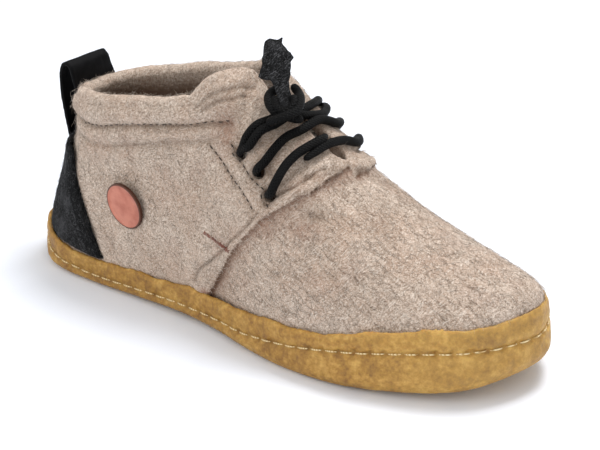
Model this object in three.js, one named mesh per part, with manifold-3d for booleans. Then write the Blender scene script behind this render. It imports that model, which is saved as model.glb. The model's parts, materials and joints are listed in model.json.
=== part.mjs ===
// A felt slipper with a natural crepe cup sole, for the right foot. Millimetres, +X to the toe,
// +Y to the inner side of the foot, +Z up from the floor. The origin is under the middle of the sole.
import * as THREE from "three";
import { mergeVertices } from "three/addons/utils/BufferGeometryUtils.js";
import Module from "manifold-3d";

const wasm = await Module();
wasm.setup();

// Driving sizes
const LENGTH = 270; // sole, heel to toe
const BALL_WIDTH = 98; // sole, across the ball
const COLLAR_HEIGHT = 95; // floor to the top line beside the ankle bone
const FELT = 4.5; // wall of the upper
const QUARTER_STEP = 2.5; // the quarters lie over the vamp by this much
const COLLAR_PAD = 3.2; // more wall inside the rolled collar
const FIT = 0.3; // clearance between pieces that touch
const CREPE_WALL = 4; // side of the cup sole at its inner foot
const PLATE = 7; // bottom of the cup sole
const GROOVE = 1.3; // depth of the stitch channel round the sole's side
const INSOLE = 4;
const COUNTER = 2.4; // felt patch round the heel
const TONGUE = 3;
const SLIT = 6; // gap between the two facings
const LACE = 4;
const STRAP_WIDTH = 27;
const STRAP = 2.2; // leather of the pull loop
const BADGE = 23;
const BADGE_THICK = 1.8;

// The last, a row for each section from heel to toe. outer and inner: the sole's edge on the two sides of
// the foot, [along, across] as shares of LENGTH and half of BALL_WIDTH. top: where the section ends above,
// [along, centre, half width, height], the height as a share of COLLAR_HEIGHT. belly, low: reach out and
// up of the lower handle. roll, drop: reach out and down of the upper handle. lift, rim: the sole's
// underside and the top of its side over the floor, in mm. channel: height of its stitches, as a share of
// its side. lean: the rim's lean inwards, in mm. innerRoll: the roll on the inner side of the foot, where it
// isn't the same.
const SECTIONS = [
  { at: "heel back", outer: [0, 0], inner: [0, 0], top: [0.088, 0, 0, 0.895],
    belly: -0.02, low: 0.34, roll: 0, drop: 0.35, lift: 4, rim: 22, channel: 0.5, lean: 0 },
  { at: "heel corner", outer: [0.024, -0.43], inner: [0.026, 0.42], top: [0.101, 0, 0.25, 0.905],
    belly: -0.03, low: 0.32, roll: 0, drop: 0.35, lift: 2.2, rim: 21.5, channel: 0.48, lean: 0 },
  { at: "heel side", outer: [0.083, -0.69], inner: [0.081, 0.665], top: [0.14, 0, 0.47, 0.925],
    belly: -0.02, low: 0.3, roll: 0, drop: 0.35, lift: 0, rim: 16.5, channel: 0.42, lean: 0 },
  { at: "heel front", outer: [0.178, -0.75], inner: [0.17, 0.735], top: [0.2, 0, 0.585, 0.955],
    belly: 0.02, low: 0.3, roll: 0, drop: 0.35, lift: 0, rim: 13.5, channel: 0.37, lean: 0 },
  { at: "waist back", outer: [0.296, -0.76], inner: [0.281, 0.74], top: [0.268, 0, 0.61, 1],
    belly: 0.04, low: 0.32, roll: 0, drop: 0.35, lift: 0.8, rim: 15, channel: 0.36, lean: 0 },
  { at: "waist", outer: [0.4, -0.78], inner: [0.385, 0.74], top: [0.342, 0, 0.59, 1.04],
    belly: 0.04, low: 0.34, roll: 0.05, drop: 0.34, lift: 1.5, rim: 16.5, channel: 0.37, lean: 0 },
  { at: "waist front", outer: [0.485, -0.84], inner: [0.474, 0.79], top: [0.403, 0, 0.53, 1.085],
    belly: 0.04, low: 0.36, roll: 0.12, drop: 0.32, lift: 1, rim: 17.5, channel: 0.4, lean: 0 },
  { at: "ear", outer: [0.552, -0.925], inner: [0.541, 0.88], top: [0.455, 0, 0.36, 1.16],
    belly: 0.04, low: 0.38, roll: 0.25, drop: 0.22, lift: 0.4, rim: 19.5, channel: 0.43, lean: 0 },
  { at: "throat", outer: [0.61, -0.98], inner: [0.607, 0.945], top: [0.496, 0, 0, 1.18],
    belly: 0.04, low: 0.42, roll: 0.5, innerRoll: 0.4, drop: 0.06, lift: 0, rim: 21.5, channel: 0.5, lean: 0 },
  { at: "instep", outer: [0.66, -1], inner: [0.66, 0.98], top: [0.568, 0, 0, 1.01],
    belly: 0.04, low: 0.45, roll: 0.55, innerRoll: 0.47, drop: 0, lift: 0, rim: 22, channel: 0.59, lean: 0 },
  { at: "slit end", outer: [0.711, -1], inner: [0.715, 0.995], top: [0.65, 0.02, 0, 0.84],
    belly: 0.04, low: 0.5, roll: 0.56, drop: 0, lift: 0.3, rim: 24, channel: 0.65, lean: 0.5 },
  { at: "vamp back", outer: [0.77, -0.965], inner: [0.778, 0.97], top: [0.728, 0.05, 0, 0.7],
    belly: 0.04, low: 0.56, roll: 0.58, drop: 0, lift: 1.2, rim: 27, channel: 0.66, lean: 1.4 },
  { at: "vamp", outer: [0.833, -0.87], inner: [0.848, 0.915], top: [0.798, 0.08, 0, 0.61],
    belly: 0.04, low: 0.6, roll: 0.6, drop: 0, lift: 2.6, rim: 30.5, channel: 0.65, lean: 2.8 },
  { at: "toe back", outer: [0.893, -0.735], inner: [0.907, 0.77], top: [0.858, 0.1, 0, 0.552],
    belly: 0.04, low: 0.68, roll: 0.64, drop: 0, lift: 4.1, rim: 33, channel: 0.65, lean: 3 },
  { at: "toe side", outer: [0.941, -0.555], inner: [0.953, 0.6], top: [0.906, 0.12, 0, 0.52],
    belly: 0.04, low: 0.78, roll: 0.7, drop: 0, lift: 5.9, rim: 34, channel: 0.64, lean: 1.7 },
  { at: "toe corner", outer: [0.978, -0.28], inner: [0.986, 0.37], top: [0.935, 0.13, 0, 0.512],
    belly: 0.04, low: 0.84, roll: 0.74, drop: 0, lift: 8.6, rim: 36, channel: 0.58, lean: 0.9 },
  { at: "toe", outer: [1, 0.08], inner: [1, 0.08], top: [0.945, 0.13, 0, 0.505],
    belly: 0.04, low: 0.86, roll: 0.75, drop: 0, lift: 10.2, rim: 37, channel: 0.53, lean: 0.9 },
];
const THROAT = SECTIONS.findIndex((row) => row.at === "throat");
const TOE = SECTIONS.length - 1;
const STEPS = 3; // facets from one section to the next
const LEVELS = [0, 0.12, 0.25, 0.38, 0.5, 0.61, 0.71, 0.8, 0.88, 0.95, 1]; // foot to top of a section

const HALF = BALL_WIDTH / 2;
const smooth = (x, from, to) => THREE.MathUtils.smoothstep(x, from, to);

// The sections as one ring: down the outer side from heel to toe, and back along the inner side.
const ringRow = (row, side) => {
  const [footX, footY] = side < 0 ? row.outer : row.inner;
  const [topX, centre, half, height] = row.top;
  return {
    footX: footX * LENGTH, footY: footY * HALF, topX: topX * LENGTH, centre: centre * HALF,
    half: side * half * HALF, topZ: height * COLLAR_HEIGHT, belly: row.belly, low: row.low,
    roll: side < 0 ? row.roll : (row.innerRoll ?? row.roll), drop: row.drop, lift: row.lift, rim: row.rim,
    channel: row.channel, lean: row.lean,
  };
};
const RING = [
  ...SECTIONS.map((row) => ringRow(row, -1)),
  ...SECTIONS.slice(1, TOE).reverse().map((row) => ringRow(row, 1)),
];

// One column of the ring at u, by a closed Catmull-Rom curve through its rows.
function column(name, u) {
  const n = RING.length;
  const i = Math.floor(u);
  const t = u - i;
  const [a, b, c, d] = [-1, 0, 1, 2].map((k) => RING[(i + k + 2 * n) % n][name]);
  return 0.5 * (2 * b + (c - a) * t + (2 * a - 5 * b + 4 * c - d) * t * t + (3 * b - a - 3 * c + d) * t ** 3);
}

const rowOf = (u) => {
  const v = THREE.MathUtils.euclideanModulo(u, RING.length);
  return v <= TOE ? v : RING.length - v;
};

// A point of the sole's edge, moved inwards by inset, at height z.
function edge(u, inset, z) {
  const step = 0.01;
  const tangent = new THREE.Vector2(
    column("footX", u + step) - column("footX", u - step),
    column("footY", u + step) - column("footY", u - step),
  ).normalize();
  return new THREE.Vector3(
    column("footX", u) - LENGTH / 2 - tangent.y * inset,
    column("footY", u) + tangent.x * inset,
    z,
  );
}

// How far in front of the quarters a section stands: 0 behind their front edge and 1 before it.
const vampShare = (u) => smooth(rowOf(u), THROAT - 2.2, THROAT - 0.6);
const footInset = (u) => CREPE_WALL + FIT - QUARTER_STEP * vampShare(u);
const larger = (a, b) => (b.volume() > a.volume() ? b : a);
const largest = (solid) => solid.decompose().reduce(larger);
const liftOf = (u) => Math.max(column("lift", u), 0);
const floorOf = (u) => liftOf(u) + PLATE + FIT;

function ridgeSlope(u) {
  const row = rowOf(u);
  if (row < THROAT) return 0;
  const step = 0.25;
  const ahead = Math.min(row + step, TOE);
  const behind = Math.max(row - step, THROAT);
  return (column("topZ", ahead) - column("topZ", behind)) / (column("topX", ahead) - column("topX", behind));
}

// The upper's outer skin, as it would be if the quarters reached the toe: t runs from the foot of
// section u to its top, along one cubic Bezier curve.
function skin(u, t) {
  const foot = edge(u, footInset(u), floorOf(u));
  const half = rowOf(u) >= THROAT ? 0 : column("half", u);
  const top = new THREE.Vector3(column("topX", u) - LENGTH / 2, column("centre", u) + half, column("topZ", u));
  const rise = top.z - foot.z;
  const outward = edge(u, -1, 0).sub(edge(u, 0, 0));
  const span = foot.clone().sub(top).setZ(0);
  const low = foot.clone().addScaledVector(outward, column("belly", u) * rise);
  low.z += column("low", u) * rise;
  const roll = column("roll", u);
  const high = top.clone().addScaledVector(span, roll);
  high.z += span.x * roll * ridgeSlope(u) - column("drop", u) * rise;
  return new THREE.CubicBezierCurve3(foot, low, high, top).getPoint(t);
}

const AROUND = RING.length * STEPS;
const TOP = LEVELS.length - 1;
const uOf = (i) => i / STEPS;

// Number of the ring's vertex i at a level: past the throat the two sides share the ridge.
function vertexOf(i, level) {
  const around = THREE.MathUtils.euclideanModulo(i, AROUND);
  const onRidge = level === TOP && around > TOE * STEPS && AROUND - around >= THROAT * STEPS;
  return level * AROUND + (onRidge ? AROUND - around : around);
}

// Points and normals of the skin.
function skinGrid() {
  const positions = [];
  for (const t of LEVELS) for (let i = 0; i < AROUND; i++) positions.push(...skin(uOf(i), t).toArray());
  const faces = [];
  for (let level = 0; level < TOP; level++)
    for (let i = 0; i < AROUND; i++) {
      const [a, b] = [vertexOf(i, level), vertexOf(i + 1, level)];
      const [c, d] = [vertexOf(i + 1, level + 1), vertexOf(i, level + 1)];
      faces.push([a, b, c], [a, c, d]);
    }
  const geometry = new THREE.BufferGeometry();
  geometry.setAttribute("position", new THREE.Float32BufferAttribute(positions, 3));
  geometry.setIndex(faces.flat());
  geometry.computeVertexNormals();
  return { geometry, faces };
}
const GRID = skinGrid();

function gridVector(name, index) {
  return new THREE.Vector3().fromBufferAttribute(GRID.geometry.getAttribute(name), index);
}

// A solid from triangles of points.
function solidOf(triangles) {
  const soup = new THREE.BufferGeometry();
  const numbers = triangles.flat().flatMap((p) => p.toArray());
  soup.setAttribute("position", new THREE.Float32BufferAttribute(numbers, 3));
  return solidFrom(soup);
}

function solidFrom(geometry) {
  const plain = geometry.index ? geometry.toNonIndexed() : geometry.clone();
  plain.deleteAttribute("normal");
  plain.deleteAttribute("uv");
  const merged = mergeVertices(plain, 1e-4);
  return new wasm.Manifold(
    new wasm.Mesh({
      numProp: 3,
      vertProperties: new Float32Array(merged.getAttribute("position").array),
      triVerts: new Uint32Array(merged.index.array),
    }),
  );
}

const quad = (a, b, c, d) => [[a, b, c], [a, c, d]];

// A shell of the skin between two offsets along its normals. outer and inner give an offset for a
// section u and a level t. The collar's edge is closed by a half round.
function shell(outer, inner, roundSteps) {
  const at = (i, level, offset) => {
    const index = vertexOf(i, level);
    const own = index % AROUND;
    return gridVector("position", index).addScaledVector(
      gridVector("normal", index),
      offset(uOf(own), LEVELS[level]),
    );
  };
  const triangles = [];
  for (let level = 0; level < TOP; level++)
    for (let i = 0; i < AROUND; i++) {
      for (const [offset, out] of [[outer, true], [inner, false]]) {
        const [a, b] = [at(i, level, offset), at(i + 1, level, offset)];
        const [c, d] = [at(i + 1, level + 1, offset), at(i, level + 1, offset)];
        triangles.push(...(out ? quad(a, b, c, d) : quad(d, c, b, a)));
      }
      const footOf = (offset) => [at(i, 0, offset), at(i + 1, 0, offset)];
      if (level === 0) triangles.push(...quad(...footOf(inner), ...footOf(outer).reverse()));
    }
  const throat = THROAT * STEPS;
  const mirrorAtThroat = (i) => (Math.abs(i) === throat ? -i : i);
  const rim = (i, k) => {
    const [from, to] = [at(i, TOP, outer), at(i, TOP, inner)];
    if (k === 0 || k === roundSteps) return k === 0 ? from : to;
    const middle = from.clone().lerp(to, 0.5);
    const arm = from.clone().sub(middle);
    const up = from.clone().multiplyScalar(2);
    up.sub(at(i, TOP - 1, outer)).sub(at(mirrorAtThroat(i), TOP - 1, outer));
    up.projectOnPlane(arm.clone().normalize()).setLength(arm.length());
    const turn = (Math.PI * k) / roundSteps;
    return middle.addScaledVector(arm, Math.cos(turn)).addScaledVector(up, Math.sin(turn));
  };
  for (let i = -throat; i < throat; i++)
    for (let k = 0; k < roundSteps; k++)
      triangles.push(...quad(rim(i, k), rim(i + 1, k), rim(i + 1, k + 1), rim(i, k + 1)));
  return solidOf(triangles);
}

// A straight prism: an outline in the side view (x, z) pushed across from one y to another.
function sidePrism(points, from, to) {
  const shape = new THREE.Shape(points.map(([x, z]) => new THREE.Vector2(x, z)));
  const geometry = new THREE.ExtrudeGeometry(shape, { depth: to - from, bevelEnabled: false });
  geometry.rotateX(Math.PI / 2).translate(0, to, 0);
  return solidFrom(geometry);
}

// A straight prism: an outline in the plan view (x, y) pushed up from one z to another.
function planPrism(points, from, to) {
  const shape = new THREE.Shape(points.map(([x, y]) => new THREE.Vector2(x, y)));
  const geometry = new THREE.ExtrudeGeometry(shape, { depth: to - from, bevelEnabled: false });
  geometry.translate(0, 0, from);
  return solidFrom(geometry);
}

// Surface points: on the skin at a section and level of one side, lifted off it along its normal.
const onSkin = (section, t, side, lift) => onRing(side < 0 ? section : RING.length - section, t, lift);

function onRing(u, t, lift) {
  const step = 0.02;
  const point = skin(u, t);
  const around = skin(u + step, t).sub(skin(u - step, t));
  const up = skin(u, Math.min(t + step, 1)).sub(skin(u, t - step));
  const normal = around.cross(up).normalize();
  return { point: point.addScaledVector(normal, lift), normal };
}

const tube = (points, diameter, steps, sides = 8) => {
  const ring = new THREE.Shape();
  for (let i = 0; i < sides; i++) {
    const turn = (2 * Math.PI * i) / sides;
    const [x, y] = [(Math.cos(turn) * diameter) / 2, (Math.sin(turn) * diameter) / 2];
    if (i === 0) ring.moveTo(x, y);
    else ring.lineTo(x, y);
  }
  const path = new THREE.CatmullRomCurve3(points, false, "centripetal");
  return solidFrom(new THREE.ExtrudeGeometry(ring, { steps, extrudePath: path, bevelEnabled: false }));
};

// A cylinder along a direction, centred on a point.
function rod(point, direction, diameter, length, sides) {
  const geometry = new THREE.CylinderGeometry(diameter / 2, diameter / 2, length, sides);
  geometry.applyQuaternion(new THREE.Quaternion().setFromUnitVectors(new THREE.Vector3(0, 1, 0), direction));
  return solidFrom(geometry.translate(point.x, point.y, point.z));
}

// Sole: loops of its side, from the underside up, over the rim and down to the cup's floor. Each has its
// height as a share of the side, or over the stitch channel by such a share.
const SOLE_LOOPS = [
  { at: "tread edge", inset: 2.6, share: 0 },
  { at: "bevel", inset: 0.9, share: 0.08 },
  { at: "bulge", inset: 0, share: 0.22 },
  { at: "channel foot", inset: 0.3, overChannel: -0.06 },
  { at: "channel", inset: 0.6 + GROOVE, overChannel: 0 },
  { at: "channel top", inset: 0.7, overChannel: 0.07 },
  { at: "upper side", inset: 0.9, share: 0.84 },
  { at: "rim outside", inset: 1.7, share: 0.97 },
  { at: "rim top", inset: 2.4, share: 1 },
  { at: "rim inside", inset: CREPE_WALL, share: 0.94, inside: true },
];

// The sole, or its form grown by a gap, which is cut from what stands in the cup.
function outsole(gap = 0) {
  const loops = SOLE_LOOPS.map(({ inset, share, overChannel, inside }) => (i) => {
    const u = uOf(i);
    const own = share ?? column("channel", u) + overChannel;
    const leant = inset + column("lean", u) * own ** 2;
    const height = THREE.MathUtils.lerp(liftOf(u), column("rim", u) + gap, own);
    return edge(u, leant + (inside ? gap : -gap), height);
  });
  loops.push((i) => edge(uOf(i), CREPE_WALL + gap, liftOf(uOf(i)) + PLATE + gap));
  return ladderSolid(loops);
}

// A closed body from loops round the foot: neighbours joined by quads, the first and last closed by
// straight rungs from the outer to the inner side of each section.
function ladderSolid(loops) {
  const triangles = [];
  for (let k = 0; k + 1 < loops.length; k++)
    for (let i = 0; i < AROUND; i++)
      triangles.push(...quad(loops[k](i), loops[k](i + 1), loops[k + 1](i + 1), loops[k + 1](i)));
  const half = AROUND / 2;
  for (const [loop, up] of [[loops[0], false], [loops.at(-1), true]])
    for (let i = 0; i < half; i++) {
      const [a, b, c, d] = [loop(i), loop(i + 1), loop(AROUND - i - 1), loop(AROUND - i)];
      const rung = [];
      if (i + 1 < half) rung.push([a, b, c]);
      if (i > 0) rung.push([a, c, d]);
      if (i + 1 === half) rung.splice(0, rung.length, [a, b, d]);
      triangles.push(...(up ? rung : rung.map(([p, q, r]) => [r, q, p])));
    }
  return solidOf(triangles);
}

// Depth of the upper's inner face under the skin.
const wallAt = (u, t) => {
  const pad = rowOf(u) < THROAT ? COLLAR_PAD * smooth(t, 0.68, 0.9) : 0;
  return FELT + QUARTER_STEP * vampShare(u) + pad * (1 - vampShare(u));
};

// The felt footbed, inside the foot of the upper.
function insole() {
  const loop = (gap, height) => (i) => {
    const u = uOf(i);
    return edge(u, footInset(u) + wallAt(u, 0) + gap, floorOf(u) + height);
  };
  const gap = 3 * FIT;
  return ladderSolid([loop(gap + 0.4, 0), loop(gap, 1), loop(gap, INSOLE - 1), loop(gap + 0.8, INSOLE)]);
}

// Lace holes, three to a side, by section and level.
const HOLES = [
  { section: THROAT - 0.75, t: 0.66 },
  { section: THROAT - 0.3, t: 0.56 },
  { section: THROAT + 0.1, t: 0.52 },
];
const HOLE = LACE + 1.8;

// Front edges of the quarters in the side view, [along from the middle of the sole, height] as shares of
// LENGTH and COLLAR_HEIGHT. The inner quarter's facing reaches further over the vamp.
const QUARTER_FOOT = [[-0.052, 0], [-0.041, 0.179], [0.022, 0.463], [0.072, 0.637]];
const OUTER_QUARTER = [...QUARTER_FOOT, [0.122, 0.752], [0.139, 0.779], [0.152, 0.832], [0.152, 1.47]];
const INNER_QUARTER = [...QUARTER_FOOT, [0.13, 0.74], [0.172, 0.8], [0.187, 0.87], [0.187, 1.47]];
const SLIT_END = 0.144; // as a share of LENGTH
const sideOutline = (shares) => shares.map(([along, height]) => [along * LENGTH, height * COLLAR_HEIGHT]);
const HIGH = 200; // beyond the slipper in any direction
const LOW = 60; // under the slit and the tongue

function upper() {
  const whole = shell(() => 0, (u, t) => -wallAt(u, t), 5);
  const skinLayer = shell(() => 2, () => -QUARTER_STEP, 2);
  const beyond = (quarter, from, to) => {
    const front = sideOutline(quarter);
    return sidePrism([...front, [HIGH, front.at(-1)[1]], [HIGH, front[0][1]]], from, to);
  };
  const [end, wide] = [SLIT_END * LENGTH, SLIT / 2];
  const corner = INNER_QUARTER.at(-1)[0] * LENGTH;
  const [near, far] = [-SLIT / 3, 1.4 * SLIT];
  const wedge = planPrism([[end - 1, near], [HIGH, near], [HIGH, far], [corner, far]], LOW, HIGH);
  const ahead = beyond(OUTER_QUARTER, -HALF - 9, 0).add(beyond(INNER_QUARTER, 0, HALF + 9)).add(wedge);
  const slit = planPrism([[-15, -SLIT], [end - 3, -wide], [end, 0], [end - 3, wide], [-15, SLIT]], LOW, HIGH);
  let body = whole.subtract(skinLayer.intersect(ahead)).subtract(slit).subtract(outsole(FIT));
  for (const { section, t } of HOLES)
    for (const side of [-1, 1]) {
      const { point, normal } = onSkin(section, t, side, 0);
      body = body.subtract(rod(point, normal, HOLE, 4 * FELT, 12));
    }
  return largest(body).simplify(0.06);
}

function tongue() {
  const depth = (u, t) => -wallAt(u, t) - 3 * FIT;
  const layer = shell(depth, (u, t) => depth(u, t) - TONGUE, 2);
  const plan = planPrism([[-12, -20], [40, -17], [54, -11], [54, 11], [40, 17], [-12, 20]], LOW, HIGH);
  return largest(layer.intersect(plan)).simplify(0.05);
}

// Side outline of the counter, from its narrow top behind the collar down to the rim of the sole.
const COUNTER_EDGE = [
  [-0.372, 0.638], [-0.355, 0.526], [-0.334, 0.42], [-0.313, 0.31], [-0.292, 0.18], [-0.28, 0.137],
];

function heelCounter() {
  const off = 1.5 * FIT;
  const layer = shell(() => off + COUNTER, () => off, 2);
  const front = sideOutline(COUNTER_EDGE);
  const outline = [[-HIGH, front[0][1]], ...front, [-HIGH, front.at(-1)[1]]];
  return largest(layer.intersect(sidePrism(outline, -HALF, HALF)).subtract(outsole(1.5 * FIT))).simplify(0.05);
}

// The pull loop: a strap up the back of the collar, over in a loop above the top line and down behind itself.
// The loop's bends are [back, up] from the top line at the heel, as shares of LOOP_DEPTH and LOOP_RISE.
const LOOP_RISE = 13;
const STRAP_CENTRE = 1.5; // the strap sits a little to the inner side
const LOOP_DEPTH = 9;
const LOOP_BENDS = [[0.13, 0.55], [0.3, 0.93], [0.64, 1], [0.95, 0.68], [1.02, 0.08], [0.93, -0.75]];
const STRAP_LEVELS = [0.69, 0.78, 0.88, 0.96];
const STRAP_FACETS = 6; // across its width
const STRAP_STEPS = 24; // along it

// The point at y of a level near the heel, at a lift off the skin.
function behindHeel(y, t, lift) {
  let [low, high] = [-2, 2];
  while (high - low > 1e-3) {
    const middle = (low + high) / 2;
    if (onRing(middle, t, lift).point.y > y) low = middle;
    else high = middle;
  }
  return onRing(low, t, lift).point;
}

// Side route of the strap at one y, along its own middle.
function strapRoute(y) {
  const off = 1.6 * FIT + STRAP / 2;
  const topLine = skin(0, 1);
  const front = STRAP_LEVELS.map((t) => behindHeel(y, t, off));
  const bend = ([back, up]) => new THREE.Vector3(topLine.x - back * LOOP_DEPTH, y, topLine.z + up * LOOP_RISE);
  const over = LOOP_BENDS.map(bend);
  const rear = behindHeel(y, STRAP_LEVELS[0], off + STRAP + FIT);
  return new THREE.CatmullRomCurve3([...front, ...over, rear].map((p) => p.setY(y)), false, "centripetal");
}

function pullLoop() {
  const loops = [];
  for (let k = 0; k <= STRAP_FACETS; k++) {
    const path = strapRoute(STRAP_CENTRE + STRAP_WIDTH * (k / STRAP_FACETS - 0.5));
    const points = path.getSpacedPoints(STRAP_STEPS);
    const side = (sign) => points.map((p, i) => {
      const tangent = path.getTangentAt(i / (points.length - 1));
      return p.clone().add(new THREE.Vector3(-tangent.z, 0, tangent.x).multiplyScalar((sign * STRAP) / 2));
    });
    loops.push([...side(1), ...side(-1).reverse()]);
  }
  return loftSolid(loops);
}

// A closed body through closed loops that each run out along one face of a strap and back along the other.
function loftSolid(loops) {
  const triangles = [];
  const around = loops[0].length;
  for (let k = 0; k + 1 < loops.length; k++)
    for (let i = 0; i < around; i++) {
      const j = (i + 1) % around;
      triangles.push(...quad(loops[k][i], loops[k][j], loops[k + 1][j], loops[k + 1][i]));
    }
  for (const [loop, last] of [[loops[0], false], [loops.at(-1), true]])
    for (let i = 0; i + 1 < around / 2; i++) {
      const [a, b, c, d] = [loop[i], loop[i + 1], loop[around - 2 - i], loop[around - 1 - i]];
      triangles.push(...(last ? quad(a, b, c, d) : quad(d, c, b, a)));
    }
  return solidOf(triangles);
}

function badge() {
  const { point, normal } = onSkin(3.9, 0.46, -1, FIT + BADGE_THICK / 2);
  const disc = new THREE.LatheGeometry(
    [[0, -0.5], [0.48, -0.5], [0.5, -0.3], [0.5, 0.2], [0.46, 0.42], [0, 0.5]].map(
      ([r, z]) => new THREE.Vector2(r * BADGE, z * BADGE_THICK),
    ),
    32,
  );
  disc.applyQuaternion(new THREE.Quaternion().setFromUnitVectors(new THREE.Vector3(0, 1, 0), normal));
  return solidFrom(disc.translate(point.x, point.y, point.z));
}

// A length of lace over the skin, from stops [section, level, side] and its height over the felt. It starts
// in hole number from, and ends in hole number to of the other side, or in the slit.
function strand({ from, side, stops, to, height = 0 }) {
  const over = LACE / 2 + 2 * FIT + height;
  const place = ([section, t, across], lift) => onSkin(THROAT + section, t, across, lift).point;
  const holeStops = (hole, across) => {
    const stop = [HOLES[hole].section - THROAT, HOLES[hole].t, across];
    return [place(stop, -1.5), place(stop, 1), place(stop, over + 0.2)];
  };
  const route = [...holeStops(from, side), ...stops.map((stop) => place(stop, stop[3] ?? over))];
  if (to !== undefined) route.push(...holeStops(to, -side).reverse());
  return tube(route, LACE, Math.round(2.4 * route.length));
}

// Lace over the facings: a pair at the top, one strand under it, and two that cross and go down the slit.
const OUTER = -1;
const INNER = 1;
const TOP_PAIR = [
  { from: 0, side: OUTER, to: 0, stops: [
    [-0.2, 0.7, OUTER], [0.35, 0.83, OUTER], [0.72, 0.92, OUTER], [0.86, 0.97, INNER], [0.72, 0.88, INNER],
    [0.1, 0.77, INNER], [-0.4, 0.72, INNER],
  ] },
  { from: 0, side: OUTER, to: 0, stops: [
    [-0.05, 0.67, OUTER], [0.5, 0.79, OUTER], [0.9, 0.9, OUTER], [1.05, 0.97, INNER], [0.92, 0.87, INNER],
    [0.25, 0.74, INNER], [-0.35, 0.69, INNER],
  ] },
  { from: 1, side: OUTER, to: 1, stops: [
    [0.3, 0.67, OUTER], [0.66, 0.79, OUTER], [0.98, 0.885, OUTER], [1.22, 0.97, INNER], [1.08, 0.86, INNER],
    [0.5, 0.71, INNER], [0.05, 0.63, INNER],
  ] },
];
const LOW_PAIR = [
  { from: 2, side: OUTER, height: 1, stops: [
    [0.5, 0.6, OUTER], [0.78, 0.72, OUTER], [1.12, 0.84, OUTER], [1.34, 0.93, OUTER], [1.42, 1, OUTER, 0],
  ] },
  { from: 2, side: INNER, stops: [
    [0.6, 0.62, INNER], [1, 0.72, INNER], [1.36, 0.84, INNER], [1.6, 0.95, INNER], [1.64, 0.94, OUTER],
    [1.42, 0.87, OUTER], [1.02, 0.785, OUTER],
  ] },
];
const joined = (strands) => strands.map(strand).reduce((all, next) => all.add(next)).simplify(0.04);

// The knot sits before the throat. Its own frame: across the knot, up the tab and out from the foot.
const KNOT_AXES = [[0.79, 0.61, 0], [-0.25, 0.33, 0.91], [0.56, -0.72, 0.42]];
const KNOT = new THREE.Matrix4()
  .makeBasis(...KNOT_AXES.map((axis) => new THREE.Vector3(...axis)))
  .setPosition(15, -11.6, 106.4);
const inKnot = ([across, up, out]) => new THREE.Vector3(across, up, out).applyMatrix4(KNOT);
const LACE_ENDS = {
  lace_end_outer: [
    [7.6, -8.6, 1.5], [1.2, -7.2, 2.9], [-4.4, -4.8, 2.9],
    [-6.7, -0.8, 0.6], [-6.2, 3.2, -4.3], [-1.6, 6.2, -5.8],
  ],
  lace_end_inner: [
    [-7.6, -9.6, 4.8], [-0.8, -7.8, 8.5], [5, -4.8, 6], [6.7, -0.2, 1], [6, 3.4, -4.2], [3.4, 7, -5.4],
  ],
};
const TAB_THICK = 3;
const TAB_EDGE = [
  [-2.6, -3.4], [-3.4, 2.6], [-5.6, 8.4], [-11.2, 9.8], [-9.8, 14.2], [-8.8, 21.2],
  [-8, 25.4], [-5.6, 26.4], [-2.8, 25.8], [-0.4, 26.8], [-0.9, 24.2], [1.8, 20.8],
  [4, 18.2], [2.6, 16], [2.8, 11.6], [1.6, 8.4], [3, 2.6], [2.4, -3.4],
];

function tab() {
  const shape = new THREE.Shape(TAB_EDGE.map(([x, y]) => new THREE.Vector2(x, y)));
  const geometry = new THREE.ExtrudeGeometry(shape, { depth: TAB_THICK, bevelEnabled: false });
  return solidFrom(geometry.translate(0, 0, -TAB_THICK / 2).applyMatrix4(KNOT));
}

// Paint: colour and gloss of each material.
const MATERIALS = {
  felt: { color: "#b3a392", roughness: 0.95, metalness: 0 },
  crepe: { color: "#b98d45", roughness: 0.55, metalness: 0 },
  charcoal: { color: "#2f2f31", roughness: 0.95, metalness: 0 },
  leather: { color: "#121214", roughness: 0.6, metalness: 0 },
  copper: { color: "#b5705a", roughness: 0.35, metalness: 1 },
  lace: { color: "#141414", roughness: 0.5, metalness: 0 },
  footbed: { color: "#8d8072", roughness: 0.95, metalness: 0 },
};

const slipper = new THREE.Group();
slipper.name = "wool_slipper";

function add(name, material, solid) {
  const { vertProperties, triVerts } = solid.getMesh();
  const geometry = new THREE.BufferGeometry();
  geometry.setAttribute("position", new THREE.BufferAttribute(new Float32Array(vertProperties), 3));
  geometry.setIndex(new THREE.BufferAttribute(new Uint32Array(triVerts), 1));
  const mesh = new THREE.Mesh(geometry, new THREE.MeshStandardMaterial(MATERIALS[material]));
  mesh.name = name;
  slipper.add(mesh);
}

add("outsole", "crepe", outsole());
add("insole", "footbed", insole());
add("upper", "felt", upper());
add("tongue", "felt", tongue());
add("heel_counter", "charcoal", heelCounter());
add("pull_loop", "leather", pullLoop());
add("badge", "copper", badge());

add("lace_top", "lace", joined(TOP_PAIR));
add("lace_low", "lace", joined(LOW_PAIR));
for (const [name, route] of Object.entries(LACE_ENDS)) add(name, "lace", tube(route.map(inKnot), LACE, 18));
add("lace_tab", "charcoal", tab());

export default slipper;
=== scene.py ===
"""A wool felt slipper with a natural crepe cup sole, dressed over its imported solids.

Tables are in millimetres in the shoe's own frame: +X to the toe, +Y to the inner side of the foot, +Z up.
"""
from __future__ import annotations

import json
import logging
import math
from dataclasses import dataclass
from enum import Enum
from typing import Iterable, Sequence

import bmesh
import bpy
import numpy as np
from mathutils import Matrix, Vector, kdtree, noise

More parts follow.
